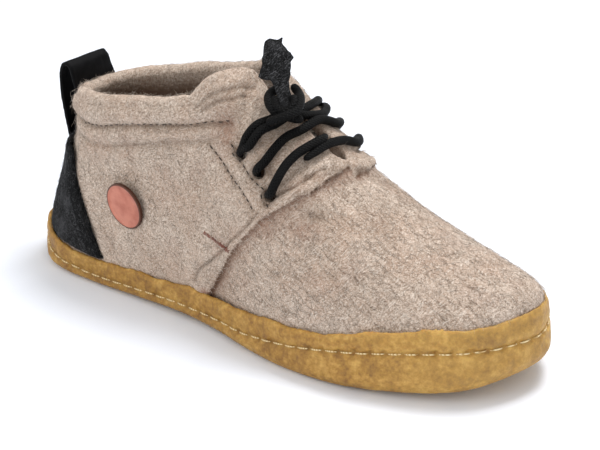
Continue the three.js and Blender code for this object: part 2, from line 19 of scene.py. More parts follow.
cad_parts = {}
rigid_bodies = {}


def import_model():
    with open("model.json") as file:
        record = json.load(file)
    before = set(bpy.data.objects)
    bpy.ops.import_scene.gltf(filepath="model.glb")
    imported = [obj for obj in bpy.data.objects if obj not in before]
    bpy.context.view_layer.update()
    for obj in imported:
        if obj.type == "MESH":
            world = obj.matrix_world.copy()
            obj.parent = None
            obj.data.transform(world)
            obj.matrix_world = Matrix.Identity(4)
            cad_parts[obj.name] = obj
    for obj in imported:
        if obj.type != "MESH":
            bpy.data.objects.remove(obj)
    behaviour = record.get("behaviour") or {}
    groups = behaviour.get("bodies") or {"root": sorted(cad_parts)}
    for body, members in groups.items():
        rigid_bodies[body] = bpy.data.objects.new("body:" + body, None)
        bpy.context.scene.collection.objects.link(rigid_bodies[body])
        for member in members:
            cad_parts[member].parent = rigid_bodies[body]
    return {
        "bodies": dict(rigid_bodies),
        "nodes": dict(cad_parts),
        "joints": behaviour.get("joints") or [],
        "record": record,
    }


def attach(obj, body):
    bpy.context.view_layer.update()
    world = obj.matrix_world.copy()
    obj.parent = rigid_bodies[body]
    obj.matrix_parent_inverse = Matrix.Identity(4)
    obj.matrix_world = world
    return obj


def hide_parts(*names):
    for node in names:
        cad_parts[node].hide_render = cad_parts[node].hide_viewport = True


MM = 0.001
LOG = logging.getLogger("slipper")
WEIGHT_STEPS = 10
CURVE_STEPS = 24
PINCH_REACH = (3.5, 9.0)  # mm from a squeezed end at which the pinch is full, and gone
ROUND_END = (0.45, 0.8, 0.96)  # the last rings of a cord, as shares of its radius
MERGE = 0.00002  # m


class Side(Enum):
    """The two sides of the foot, and the sign of Y there."""

    OUTER = -1
    INNER = 1


# Small tools for meshes and materials


def linear(colour: str) -> tuple[float, float, float, float]:
    """Turns an sRGB hex colour into linear light.

    Args:
        colour: six hex digits after a hash.

    Returns:
        Red, green, blue and an alpha of 1.
    """
    parts = [int(colour[i : i + 2], 16) / 255 for i in (1, 3, 5)]
    red, green, blue = (c / 12.92 if c <= 0.04045 else ((c + 0.055) / 1.055) ** 2.4 for c in parts)
    return red, green, blue, 1.0


def set_sockets(tree: bpy.types.NodeTree, node: bpy.types.Node, inputs: dict[int | str, object]) -> None:
    """Sets a node's inputs, or links them to other nodes.

    Args:
        tree: the material's tree.
        node: the node.
        inputs: socket name or number to a value, or to another node's output.
    """
    for key, value in inputs.items():
        if isinstance(value, bpy.types.NodeSocket):
            tree.links.new(value, node.inputs[key])
        else:
            node.inputs[key].default_value = value


def add_node(
    tree: bpy.types.NodeTree,
    kind: str,
    inputs: dict[int | str, object] | None = None,
    ramp: Sequence[tuple[float, str]] = (),
    **settings: object,
) -> bpy.types.Node:
    """Adds one shader node.

    Args:
        tree: the material's tree.
        kind: the node's type name.
        inputs: socket name or number to a value, or to another node's output.
        ramp: stops of a colour ramp, as pairs of place and hex colour.
        **settings: properties of the node.

    Returns:
        The node.
    """
    made = tree.nodes.new(kind)
    for name, value in settings.items():
        setattr(made, name, value)
    if ramp:
        stops = made.color_ramp.elements
        while len(stops) < len(ramp):
            stops.new(0.5)
        for stop, (place, colour) in zip(stops, ramp):
            stop.position, stop.color = place, linear(colour)
    set_sockets(tree, made, inputs or {})
    return made


def select_none() -> None:
    """Deselects everything."""
    for other in bpy.context.view_layer.objects:
        other.select_set(False)


def select_only(piece: bpy.types.Object) -> None:
    """Deselects everything, and makes one piece selected and active.

    Args:
        piece: that piece.
    """
    select_none()
    piece.select_set(True)
    bpy.context.view_layer.objects.active = piece


def apply_modifier(piece: bpy.types.Object, kind: str, **settings: object) -> None:
    """Adds a modifier to a piece and applies it at once.

    Args:
        piece: what it shapes.
        kind: the modifier's type name.
        **settings: its properties.
    """
    modifier = piece.modifiers.new(kind.title(), kind)
    for name, value in settings.items():
        setattr(modifier, name, value)
    select_only(piece)
    bpy.ops.object.modifier_apply(modifier=modifier.name)


def new_piece(name: str, vertices: np.ndarray, faces: Iterable[Sequence[int]]) -> bpy.types.Object:
    """Makes a mesh object at the origin.

    Args:
        name: the piece's name.
        vertices: in metres.
        faces: the numbers of each face's vertices.

    Returns:
        The piece.
    """
    mesh = bpy.data.meshes.new(name)
    mesh.from_pydata([tuple(v) for v in vertices], [], [tuple(f) for f in faces])
    mesh.update()
    piece = bpy.data.objects.new(name, mesh)
    bpy.context.scene.collection.objects.link(piece)
    return piece


def soft_copy(frame: dict, node: str, name: str, voxel: float) -> bpy.types.Object:
    """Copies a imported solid, merges its points and gives it an even fine mesh.

    Args:
        node: the solid's name.
        name: the new piece's name.
        voxel: mesh size in mm.

    Returns:
        The new piece.
    """
    source = frame["nodes"][node]
    piece = bpy.data.objects.new(name, source.data.copy())
    bpy.context.scene.collection.objects.link(piece)
    piece.data.transform(source.matrix_world)
    piece.data.materials.clear()
    select_only(piece)
    bpy.ops.object.mode_set(mode="EDIT")
    bpy.ops.mesh.select_all(action="SELECT")
    bpy.ops.mesh.remove_doubles(threshold=MERGE)
    bpy.ops.object.mode_set(mode="OBJECT")
    apply_modifier(piece, "REMESH", mode="VOXEL", voxel_size=voxel * MM)
    return piece


def smooth_by(piece: bpy.types.Object, passes: int, weights: np.ndarray | None = None) -> None:
    """Evens a mesh out.

    Args:
        piece: the mesh.
        passes: how often.
        weights: how much each vertex takes part, from 0 to 1, or None for all alike.
    """
    group = ""
    if weights is not None:
        free = piece.vertex_groups.new(name="free")
        levels = np.round(np.clip(weights, 0, 1) * WEIGHT_STEPS).astype(int)
        for level in range(1, WEIGHT_STEPS + 1):
            chosen = np.nonzero(levels == level)[0].tolist()
            if chosen:
                free.add(chosen, level / WEIGHT_STEPS, "REPLACE")
        group = free.name
    apply_modifier(piece, "SMOOTH", factor=0.5, iterations=passes, vertex_group=group)
    if weights is not None:
        piece.vertex_groups.clear()


def points_of(piece: bpy.types.Object) -> np.ndarray:
    """Reads a mesh's vertices.

    Args:
        piece: the mesh.

    Returns:
        Its points in mm.
    """
    flat = np.empty(len(piece.data.vertices) * 3, np.float32)
    piece.data.vertices.foreach_get("co", flat)
    return flat.reshape(-1, 3).astype(float) / MM


def normals_of(piece: bpy.types.Object) -> np.ndarray:
    """Reads a mesh's vertex normals.

    Args:
        piece: the mesh.

    Returns:
        Its normals.
    """
    flat = np.empty(len(piece.data.vertices) * 3, np.float32)
    piece.data.vertices.foreach_get("normal", flat)
    return flat.reshape(-1, 3).astype(float)


def set_points(piece: bpy.types.Object, points: np.ndarray) -> None:
    """Moves a mesh's vertices to points in millimetres."""
    piece.data.vertices.foreach_set("co", (points * MM).astype(np.float32).ravel())
    piece.data.update()


def set_attribute(piece: bpy.types.Object, name: str, values: np.ndarray) -> None:
    """Stores one number for each vertex."""
    made = piece.data.attributes.new(name, "FLOAT", "POINT")
    made.data.foreach_set("value", values.astype(np.float32))


def ripple(points: np.ndarray, size: float, shift: float = 0.0) -> np.ndarray:
    """Smooth noise from -1 to 1 at points in mm, with lumps of about a size in mm."""
    offset = Vector((shift, 1.7 * shift, -shift))
    return np.array([noise.noise(Vector(p) / size + offset) for p in points]) * 1.6


def smoothstep(x: np.ndarray, low: float, high: float) -> np.ndarray:
    """Goes softly from 0 at low to 1 at high."""
    t = np.clip((x - low) / (high - low), 0, 1)
    return t * t * (3 - 2 * t)


def bell(x: np.ndarray, width: float) -> np.ndarray:
    """Falls softly from 1 at 0 to nothing at about twice a width."""
    return np.exp(-((x / width) ** 2))


def nearest(points: Iterable[Sequence[float]], cloud: np.ndarray) -> tuple[np.ndarray, np.ndarray]:
    """Finds the nearest point of a cloud to each point.

    Args:
        points: in mm.
        cloud: in mm.

    Returns:
        The numbers of the cloud's points, and how far off they are.
    """
    tree = kdtree.KDTree(len(cloud))
    for i, p in enumerate(cloud):
        tree.insert(p, i)
    tree.balance()
    found = [tree.find(p)[1:] for p in points]
    return np.array([f[0] for f in found]), np.array([f[1] for f in found])


def near(points: np.ndarray, line: np.ndarray, reach: float) -> tuple[np.ndarray, np.ndarray]:
    """Picks the points in a line's neighbourhood.

    Args:
        points: all points, in mm.
        line: the line's own close points.
        reach: how far from it still counts.

    Returns:
        The numbers of those points, and their distances.
    """
    low, high = line.min(0) - reach, line.max(0) + reach
    chosen = np.nonzero(((points > low) & (points < high)).all(1))[0]
    if not len(chosen):
        return chosen, np.empty(0)
    _, apart = nearest(points[chosen], line)
    close = apart < reach
    return chosen[close], apart[close]


def smooth_route(stops: Sequence[Sequence[float]], step: float) -> np.ndarray:
    """Draws a centripetal Catmull-Rom curve through stops, as points a step apart.

    Args:
        stops: the points that it goes through, in mm.
        step: spacing of the result, in mm.

    Returns:
        The points.
    """
    given = [np.array(s, float) for s in stops]
    chain = [2 * given[0] - given[1], *given, 2 * given[-1] - given[-2]]
    fine: list[np.ndarray] = []
    for a, b, c, d in zip(chain, chain[1:], chain[2:], chain[3:]):
        gaps = [max(float(np.linalg.norm(q - p)) ** 0.5, 1e-4) for p, q in ((a, b), (b, c), (c, d))]
        start = ((b - a) / gaps[0] - (c - a) / (gaps[0] + gaps[1]) + (c - b) / gaps[1]) * gaps[1]
        end = ((c - b) / gaps[1] - (d - b) / (gaps[1] + gaps[2]) + (d - c) / gaps[2]) * gaps[1]
        for t in np.linspace(0, 1, CURVE_STEPS, endpoint=False):
            fine.append(
                (2 * t**3 - 3 * t**2 + 1) * b
                + (t**3 - 2 * t**2 + t) * start
                + (3 * t**2 - 2 * t**3) * c
                + (t**3 - t**2) * end
            )
    fine.append(given[-1])
    return even(np.array(fine), step)


def run_of(line: np.ndarray) -> np.ndarray:
    """How far along a line each of its points is."""
    return np.r_[0, np.cumsum(np.linalg.norm(np.diff(line, axis=0), axis=1))]


def even(line: np.ndarray, step: float, closed: bool = False) -> np.ndarray:
    """Spaces a line's points evenly.

    Args:
        line: close points in mm.
        step: spacing of the result, in mm.
        closed: the line ends where it begins, and that point is given once.

    Returns:
        The points.
    """
    along = run_of(line)
    count = int(round(along[-1] / step))
    marks = np.linspace(0, along[-1], count, endpoint=False)
    if not closed:
        marks = np.linspace(0, along[-1], max(2, count + 1))
    return np.stack([np.interp(marks, along, line[:, k]) for k in range(3)], 1)


def length_of(line: np.ndarray) -> float:
    """Length of a line of points."""
    return float(np.linalg.norm(np.diff(line, axis=0), axis=1).sum())


def tube(
    name: str, line: np.ndarray, radius: float, pinch: float = 0.0, sides: int = 14
) -> bpy.types.Object:
    """Makes a round cord along a line, closed by rounded ends, with a map in mm along and round it.

    Args:
        name: the piece's name.
        line: its centre line in mm.
        radius: in mm.
        pinch: how much thinner it is where it is squeezed at its two ends.
        sides: facets round it.

    Returns:
        The piece.
    """
    count = len(line)
    tangents = np.gradient(line, axis=0)
    tangents /= np.linalg.norm(tangents, axis=1)[:, None]
    across = np.cross(tangents[0], (0.3, 0.2, 1.0))
    along = run_of(line)
    ends = np.minimum(along, along[-1] - along)
    rings, shares = [], 1 - pinch * (1 - smoothstep(ends, *PINCH_REACH))
    for k, share in enumerate(ROUND_END):
        shares[[k, -1 - k]] *= share
    for point, tangent, share in zip(line, tangents, shares):
        across = across - tangent * across.dot(tangent)
        across /= np.linalg.norm(across)
        other = np.cross(tangent, across)
        turns = np.linspace(0, 2 * math.pi, sides, endpoint=False)
        circle = np.outer(np.cos(turns), across) + np.outer(np.sin(turns), other)
        rings.append(point + radius * share * circle)
    vertices = np.concatenate([*rings, line[:1], line[-1:]])
    first, last = count * sides, count * sides + 1
    faces: list[tuple[int, ...]] = []
    for k in range(count - 1):
        for i in range(sides):
            j = (i + 1) % sides
            faces.append((k * sides + i, k * sides + j, (k + 1) * sides + j, (k + 1) * sides + i))
    for i in range(sides):
        j = (i + 1) % sides
        faces.append((first, j, i))
        faces.append((last, (count - 1) * sides + i, (count - 1) * sides + j))
    piece = new_piece(name, vertices * MM, faces)
    uv = piece.data.uv_layers.new(name="along")
    spacing = length_of(line) / (count - 1)
    for face in piece.data.polygons:
        corners = [piece.data.loops[c].vertex_index for c in face.loop_indices]
        wraps = {c % sides for c in corners if c < first} == {0, sides - 1}
        for c, vertex in zip(face.loop_indices, corners):
            ring, place = divmod(vertex, sides)
            if vertex >= first:
                ring, place = (0 if vertex == first else count - 1), 0
            turn = place + (sides if wraps and place == 0 else 0)
            uv.data[c].uv = (ring * spacing, turn / sides * 2 * math.pi * radius)
    return piece


def joined(name: str, parts: list[bpy.types.Object]) -> bpy.types.Object:
    """Joins pieces into one.

    Args:
        name: the joined piece's name.
        parts: the pieces.

    Returns:
        The joined piece.
    """
    select_only(parts[0])
    for part in parts:
        part.select_set(True)
    bpy.ops.object.join()
    parts[0].name = parts[0].data.name = name
    return parts[0]


def copies(name: str, model: bpy.types.Object, places: list[Matrix]) -> bpy.types.Object:
    """Makes one mesh of many copies of a small model, which is then removed.

    Args:
        name: the new piece's name.
        model: what is copied, with its own size in mesh units of mm.
        places: a matrix in mm for each copy.

    Returns:
        The new piece.
    """
    own = np.array([tuple(v.co) + (1.0,) for v in model.data.vertices])
    own_faces = [tuple(f.vertices) for f in model.data.polygons]
    vertices = np.concatenate([(own @ np.array(place).T)[:, :3] for place in places]) * MM
    faces = [tuple(v + k * len(own) for v in face) for k in range(len(places)) for face in own_faces]
    bpy.data.objects.remove(model)
    return new_piece(name, vertices, faces)


def upright(point: np.ndarray, along: np.ndarray, out: np.ndarray) -> Matrix:
    """Places something that lies along one direction, with another one out of the surface.

    Args:
        point: where it lies, in mm.
        along: its own X.
        out: about its own Z.

    Returns:
        Its matrix, in mm.
    """
    x = Vector(along).normalized()
    z = Vector(out).normalized()
    y = z.cross(x).normalized()
    z = x.cross(y)
    return Matrix((*((x[k], y[k], z[k], point[k]) for k in range(3)), (0, 0, 0, 1)))


def dress(
    piece: bpy.types.Object, material: bpy.types.Material, slot: str, *nodes: str, smooth: float = 180
) -> None:
    """Gives a piece its finish, makes it ride on the shoe and hides the solids that it stands for.

    Args:
        piece: the piece.
        material: its finish.
        slot: not used.
        *nodes: the solids that it replaces.
        smooth: the sharpest angle in degrees that is shaded round.
    """
    piece.data.materials.clear()
    piece.data.materials.append(material)
    select_only(piece)
    bpy.ops.object.shade_smooth_by_angle(angle=math.radians(smooth))
    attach(piece, "root")
    if nodes:
        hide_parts(*nodes)


# The finishes

Socket = bpy.types.NodeSocket


def fresh(name: str) -> tuple[bpy.types.Material, bpy.types.NodeTree, bpy.types.ShaderNode]:
    """Makes a material with one empty principled shader.

    Args:
        name: the finish in plain words.

    Returns:
        The material, its tree and its shader.
    """
    material = bpy.data.materials.new(name)
    material.use_nodes = True
    tree = material.node_tree
    tree.nodes.clear()
    shader = add_node(tree, "ShaderNodeBsdfPrincipled")
    add_node(tree, "ShaderNodeOutputMaterial", {"Surface": shader.outputs[0]})
    return material, tree, shader


def lay_coats(tree: bpy.types.NodeTree, ground: Socket, coats: Iterable[tuple[Socket, str]]) -> Socket:
    """Lays plain colours over a ground one after the other, each where its mask says.

    Args:
        tree: the material's tree.
        ground: the colour under them.
        coats: a mask and a hex colour for each, the lowest first.

    Returns:
        The colour on top.
    """
    for mask, colour in coats:
        mixed = add_node(tree, "ShaderNodeMix", {0: mask, 6: ground, 7: linear(colour)}, data_type="RGBA")
        ground = mixed.outputs[2]
    return ground


@dataclass(frozen=True)
class WoolFelt:
    """Thick milled wool felt, of undyed and dyed fibres that lie in all directions.

    The eye sees a speckled ground with darker and paler threads on it, dull all over, with a pale
    fuzz at grazing view.
    """

    name: str
    ground: tuple[str, str, str]
    dark: str
    pale: str
    blush: str
    # painted deep shade, laid by the depth attribute inside the shoe and under the quarters' edge
    worn: str = "#4d392b"
    # reddish wool, and the warm painted shade inside the shoe
    rust_and_shade: str = "#8a5a45"
    fibre: float = 0.55  # mm, drawn coarser than the real 0.03 mm fibres so that it shows
    strand: float = 4.6  # mm, length of a strand before it dives
    lock: tuple[float, float] = (17.0, 1.3)  # mm, dark locks combed along the foot
    lock_slope: float = 27.0  # degrees, fall of the vamp that they follow
    speckle: float = 0.9  # mm, the wool's mixed colours
    cloud: float = 16.0  # mm, drifts of the blush colour
    dark_share: float = 0.55
    pale_share: float = 0.5
    sheen: float = 0.25

    @staticmethod
    def bend(
        tree: bpy.types.NodeTree, coords: Socket, apart: float, amount: float, detail: float, middle: float
    ) -> Socket:
        """Lets a pattern's coordinates wander, so that its threads aren't straight.

        Args:
            tree: the material's tree.
            coords: the coordinates.
            apart: size of the bends in mm.
            amount: how far they go, in mm.
            detail: how fine they get.
            middle: the noise at which nothing moves.

        Returns:
            The bent coordinates.
        """
        waves = {"Vector": coords, "Scale": 1 / (apart * MM), "Detail": detail}
        drift = add_node(tree, "ShaderNodeTexNoise", waves).outputs["Color"]
        centre = {0: drift, 1: (middle, middle, middle)}
        away = add_node(tree, "ShaderNodeVectorMath", centre, operation="SUBTRACT").outputs[0]
        reach = {0: away, "Scale": amount * MM}
        away = add_node(tree, "ShaderNodeVectorMath", reach, operation="SCALE").outputs[0]
        return add_node(tree, "ShaderNodeVectorMath", {0: coords, 1: away}, operation="ADD").outputs[0]

    def streaks(
        self, tree: bpy.types.NodeTree, coords: Socket, turn: tuple[float, float, float], shift: float
    ) -> Socket:
        """Draws noise out into strands in one direction.

        Args:
            tree: the material's tree.
            coords: the point's coordinates.
            turn: how the strands' direction is turned.
            shift: moves the pattern, so that no two layers agree.

        Returns:
            The pattern.
        """
        scale = (1 / (self.strand * MM), 1 / (self.fibre * MM), 1 / (self.fibre * MM))
        turned = add_node(tree, "ShaderNodeMapping", {"Vector": coords, "Rotation": turn}).outputs[0]
        drawing = {"Vector": turned, "Location": (shift, shift, shift), "Scale": scale}
        drawn = add_node(tree, "ShaderNodeMapping", drawing).outputs[0]
        return add_node(tree, "ShaderNodeTexNoise", {"Vector": drawn, "Scale": 1.0, "Detail": 2.0}).outputs[0]

    def locks(self, tree: bpy.types.NodeTree, coords: Socket) -> Socket:
        """Finds the darker locks of wool, strongest where the comb attribute is 1.

        Args:
            tree: the material's tree.
            coords: the point's coordinates.

        Returns:
            Their mask.
        """
        long, wide = self.lock
        scale = (1 / (long * MM), 1 / (wide * MM), 1 / (wide * MM))
        bent = self.bend(tree, coords, 12.0, 3.2, 2.0, 0.0)
        turn = (0, -math.radians(self.lock_slope), 0.06)
        level = add_node(tree, "ShaderNodeMapping", {"Vector": bent, "Rotation": turn}).outputs[0]
        drawn = add_node(tree, "ShaderNodeMapping", {"Vector": level, "Scale": scale}).outputs[0]
        grain = {"Vector": drawn, "Scale": 1.0, "Detail": 3.0, "Roughness": 0.6}
        wool = add_node(tree, "ShaderNodeTexNoise", grain).outputs[0]
        mask = add_node(tree, "ShaderNodeMapRange", {0: wool, 1: 0.5, 2: 0.68, 4: 0.66}).outputs[0]
        comb = add_node(tree, "ShaderNodeAttribute", attribute_name="comb").outputs["Fac"]
        comb = add_node(tree, "ShaderNodeMapRange", {0: comb, 3: 0.3}).outputs[0]
        return add_node(tree, "ShaderNodeMath", {0: mask, 1: comb}, operation="MULTIPLY").outputs[0]

    def make(self) -> bpy.types.Material:
        """Builds the material: its ground, its locks and strands, and the painted shade and reddish tints
        that its attributes lay on.

        Returns:
            The felt.
        """
        material, tree, shader = fresh(self.name)
        place = add_node(tree, "ShaderNodeTexCoord").outputs["Object"]
        coords = self.bend(tree, place, 7.0, 3.0, 1.0, 0.5)
        grain = {"Vector": coords, "Scale": 1 / (self.speckle * MM), "Detail": 3.0, "Roughness": 0.75}
        speckle = add_node(tree, "ShaderNodeTexNoise", grain).outputs[0]
        stops = list(zip((0.32, 0.5, 0.68), self.ground))
        ground = add_node(tree, "ShaderNodeValToRGB", {0: speckle}, ramp=stops).outputs[0]
        drifts = {"Vector": place, "Scale": 1 / (self.cloud * MM), "Detail": 3.0}
        cloud = add_node(tree, "ShaderNodeTexNoise", drifts).outputs[0]
        cloud = add_node(tree, "ShaderNodeMapRange", {0: cloud, 1: 0.42, 2: 0.72, 4: 0.5}).outputs[0]
        coats = [(cloud, self.blush), (self.locks(tree, coords), self.dark)]
        turns = ((0, 0.5, 0.4), (0.3, -0.4, 1.2), (0.2, 0.2, -0.5), (1.0, 1.1, 0.1))
        layers = [self.streaks(tree, coords, turn, 3.1 * k) for k, turn in enumerate(turns)]
        shares = (self.dark_share, self.pale_share, self.dark_share * 0.8, self.pale_share)
        for layer, share, colour in zip(layers, shares, (self.dark, self.pale) * 2):
            mask = add_node(tree, "ShaderNodeMapRange", {0: layer, 1: 0.55, 2: 0.7, 4: share}).outputs[0]
            coats.append((mask, colour))
        # The tone attribute paints shade below 0 and paler drifts above it, the depth attribute paints deep
        # shade, and the third adds reddish wool and warm painted shade inside the shoe.
        tone, rust_and_shade, depth = (
            add_node(tree, "ShaderNodeAttribute", attribute_name=name).outputs["Fac"]
            for name in ("tone", "rust_and_shade", "depth")
        )
        deep = add_node(tree, "ShaderNodeMapRange", {0: tone, 2: -1.0, 4: 0.92}).outputs[0]
        lit = add_node(tree, "ShaderNodeMapRange", {0: tone, 4: 0.6}).outputs[0]
        coats += [(deep, self.dark), (lit, self.pale), (rust_and_shade, self.rust_and_shade), (depth, self.worn)]
        both = add_node(tree, "ShaderNodeMath", {0: layers[0], 1: layers[1]}, operation="ADD").outputs[0]
        relief = add_node(tree, "ShaderNodeMath", {0: both, 1: speckle}, operation="ADD").outputs[0]
        bump = add_node(tree, "ShaderNodeBump", {"Height": relief, "Strength": 0.5, "Distance": 0.5 * MM})
        surface = {
            "Base Color": lay_coats(tree, ground, coats),
            "Normal": bump.outputs[0],
            "Roughness": 0.95,
            "Specular IOR Level": 0.08,
            "Sheen Weight": self.sheen,
            "Sheen Roughness": 0.5,
            "Sheen Tint": linear(self.pale),
        }
        set_sockets(tree, shader, surface)
        return material


@dataclass(frozen=True)
class NaturalCrepe:
    """Raw coagulated latex: amber and a little see-through, pressed from crumbs.

    It is clouded with paler and browner patches, has a lumpy skin, and glows where it is thin.
    """

    name: str = "natural_crepe_rubber"
    brown: str = "#80592a"
    amber: str = "#a97e38"
    honey: str = "#caa055"
    # painted light on the toe and the rim's top, then painted shade in the stitch groove and holes
    painted_light: str = "#cfaa60"
    painted_shade: str = "#5a4019"
    crumb: float = 2.2  # mm
    cloud: float = 8.5  # mm

    def make(self) -> bpy.types.Material:
        """Builds the material, paler with painted light and darker with painted shade, by the tone attribute.

        Returns:
            The crepe.
        """
        material, tree, shader = fresh(self.name)
        place = add_node(tree, "ShaderNodeTexCoord").outputs["Object"]
        mottle = {"Vector": place, "Scale": 1 / (self.cloud * MM), "Detail": 5.0, "Roughness": 0.62}
        clouds = add_node(tree, "ShaderNodeTexNoise", mottle).outputs[0]
        grit = {"Vector": place, "Scale": 1 / (self.crumb * MM), "Detail": 4.0, "Roughness": 0.7}
        crumbs = add_node(tree, "ShaderNodeTexNoise", grit).outputs[0]
        both = add_node(tree, "ShaderNodeMath", {0: clouds, 1: crumbs}, operation="ADD").outputs[0]
        half = add_node(tree, "ShaderNodeMath", {0: both, 1: 0.5}, operation="MULTIPLY").outputs[0]
        stops = [(0.36, self.brown), (0.5, self.amber), (0.64, self.honey)]
        colour = add_node(tree, "ShaderNodeValToRGB", {0: half}, ramp=stops).outputs[0]
        tone = add_node(tree, "ShaderNodeAttribute", attribute_name="tone").outputs["Fac"]
        pale = add_node(tree, "ShaderNodeMapRange", {0: tone, 4: 0.7}).outputs[0]
        deep = add_node(tree, "ShaderNodeMapRange", {0: tone, 2: -1.0, 4: 0.8}).outputs[0]
        bump = add_node(tree, "ShaderNodeBump", {"Height": half, "Strength": 0.6, "Distance": 1.0 * MM})
        surface = {
            "Base Color": lay_coats(tree, colour, [(pale, self.painted_light), (deep, self.painted_shade)]),
            "Normal": bump.outputs[0],
            "Roughness": 0.55,
            "IOR": 1.52,
            "Specular IOR Level": 0.35,
            "Subsurface Weight": 0.22,
            "Subsurface Radius": (1.0, 0.5, 0.18),
            "Subsurface Scale": 4 * MM,
        }
        set_sockets(tree, shader, surface)
        return material


@dataclass(frozen=True)
class SmoothLeather:
    """Finished black leather: near black with a low shine broken by a fine pebble grain."""

    name: str = "smooth_black_leather"
    colour: str = "#0b0b0c"
    rubbed: str = "#161617"
    grain: float = 0.9  # mm
    wear: float = 6.0  # mm

    def make(self) -> bpy.types.Material:
        """Builds the material.

        Returns:
            The leather.
        """
        material, tree, shader = fresh(self.name)
        place = add_node(tree, "ShaderNodeTexCoord").outputs["Object"]
        pebbles = {"Vector": place, "Scale": 1 / (self.grain * MM)}
        cells = add_node(tree, "ShaderNodeTexVoronoi", pebbles).outputs[0]
        rubbing = {"Vector": place, "Scale": 1 / (self.wear * MM), "Detail": 4.0}
        wear = add_node(tree, "ShaderNodeTexNoise", rubbing).outputs[0]
        stops = [(0.4, self.colour), (0.75, self.rubbed)]
        colour = add_node(tree, "ShaderNodeValToRGB", {0: wear}, ramp=stops).outputs[0]
        rough = add_node(tree, "ShaderNodeMapRange", {0: wear, 1: 0.3, 2: 0.7, 3: 0.42, 4: 0.62}).outputs[0]
        bump = add_node(tree, "ShaderNodeBump", {"Height": cells, "Strength": 0.35, "Distance": 0.12 * MM})
        surface = {"Base Color": colour, "Roughness": rough, "Normal": bump.outputs[0]}
        set_sockets(tree, shader, surface | {"Specular IOR Level": 0.06})
        return material


@dataclass(frozen=True)
class BrushedCopper:
    """Thin rolled copper, lightly brushed across and tumbled.

    The eye sees a soft pink metal, browner at the edge with tarnish and painted shade.
    """

    name: str = "brushed_copper"
    bright: str = "#c9846f"
    worn: str = "#b26c59"
    edge: str = "#5f4034"
    stain: float = 7.0  # mm
    brushing: tuple[float, float, float] = (60.0, 60.0, 3000.0)  # lines to the metre

    def make(self) -> bpy.types.Material:
        """Builds the material, with tarnish and painted shade on the edge where the tone attribute is -1.

        Returns:
            The copper.
        """
        material, tree, shader = fresh(self.name)
        place = add_node(tree, "ShaderNodeTexCoord").outputs["Object"]
        drawn = add_node(tree, "ShaderNodeMapping", {"Vector": place, "Scale": self.brushing}).outputs[0]
        strokes = {"Vector": drawn, "Scale": 1.0, "Detail": 3.0}
        lines = add_node(tree, "ShaderNodeTexNoise", strokes).outputs[0]
        spots = {"Vector": place, "Scale": 1 / (self.stain * MM), "Detail": 3.0}
        stain = add_node(tree, "ShaderNodeTexNoise", spots).outputs[0]
        stops = [(0.35, self.worn), (0.62, self.bright)]
        colour = add_node(tree, "ShaderNodeValToRGB", {0: stain}, ramp=stops).outputs[0]
        tone = add_node(tree, "ShaderNodeAttribute", attribute_name="tone").outputs["Fac"]
        rim = add_node(tree, "ShaderNodeMapRange", {0: tone, 2: -1.0}).outputs[0]
        rough = add_node(tree, "ShaderNodeMapRange", {0: lines, 1: 0.3, 2: 0.7, 3: 0.36, 4: 0.5}).outputs[0]
        bump = add_node(tree, "ShaderNodeBump", {"Height": lines, "Strength": 0.12, "Distance": 0.05 * MM})
        surface = {
            "Base Color": lay_coats(tree, colour, [(rim, self.edge)]),
            "Roughness": rough,
            "Normal": bump.outputs[0],
            "Metallic": 0.75,
        }
        set_sockets(tree, shader, surface)
        return material


@dataclass(frozen=True)
class WaxedLace:
    """Round black lace, braided and waxed: a herringbone of tiny plaits with a dull gloss on top."""

    name: str = "waxed_braided_lace"
    colour: str = "#050505"
    frayed: str = "#131211"
    plait: float = 1.1  # mm, drawn coarser than the real 0.6 mm so that it shows
    fuzz: float = 3.0  # mm
    lean: float = 0.75  # radians, how the plaits lie across the lace

    def make(self) -> bpy.types.Material:
        """Builds the material, on the cord's own map of mm along and round it.

        Returns:
            The lace.
        """
        material, tree, shader = fresh(self.name)
        along = add_node(tree, "ShaderNodeUVMap", uv_map="along").outputs[0]
        waves = []
        for turn in (self.lean, -self.lean):
            leaning = {"Vector": along, "Rotation": (0, 0, turn)}
            leant = add_node(tree, "ShaderNodeMapping", leaning).outputs[0]
            strands = {"Vector": leant, "Scale": 0.32 / self.plait, "Distortion": 0.6}
            waves.append(add_node(tree, "ShaderNodeTexWave", strands).outputs["Fac"])
        crossed = {0: waves[0], 1: waves[1]}
        braid = add_node(tree, "ShaderNodeMath", crossed, operation="MULTIPLY").outputs[0]
        place = add_node(tree, "ShaderNodeTexCoord").outputs["Object"]
        nap = {"Vector": place, "Scale": 1 / (self.fuzz * MM), "Detail": 4.0}
        fuzz = add_node(tree, "ShaderNodeTexNoise", nap).outputs[0]
        stops = [(0.4, self.colour), (0.85, self.frayed)]
        colour = add_node(tree, "ShaderNodeValToRGB", {0: fuzz}, ramp=stops).outputs[0]
        rough = add_node(tree, "ShaderNodeMapRange", {0: fuzz, 1: 0.3, 2: 0.7, 3: 0.45, 4: 0.7}).outputs[0]
        bump = add_node(tree, "ShaderNodeBump", {"Height": braid, "Strength": 0.9, "Distance": 0.5 * MM})
        surface = {"Base Color": colour, "Roughness": rough, "Normal": bump.outputs[0]}
        set_sockets(tree, shader, surface | {"Specular IOR Level": 0.12})
        return material


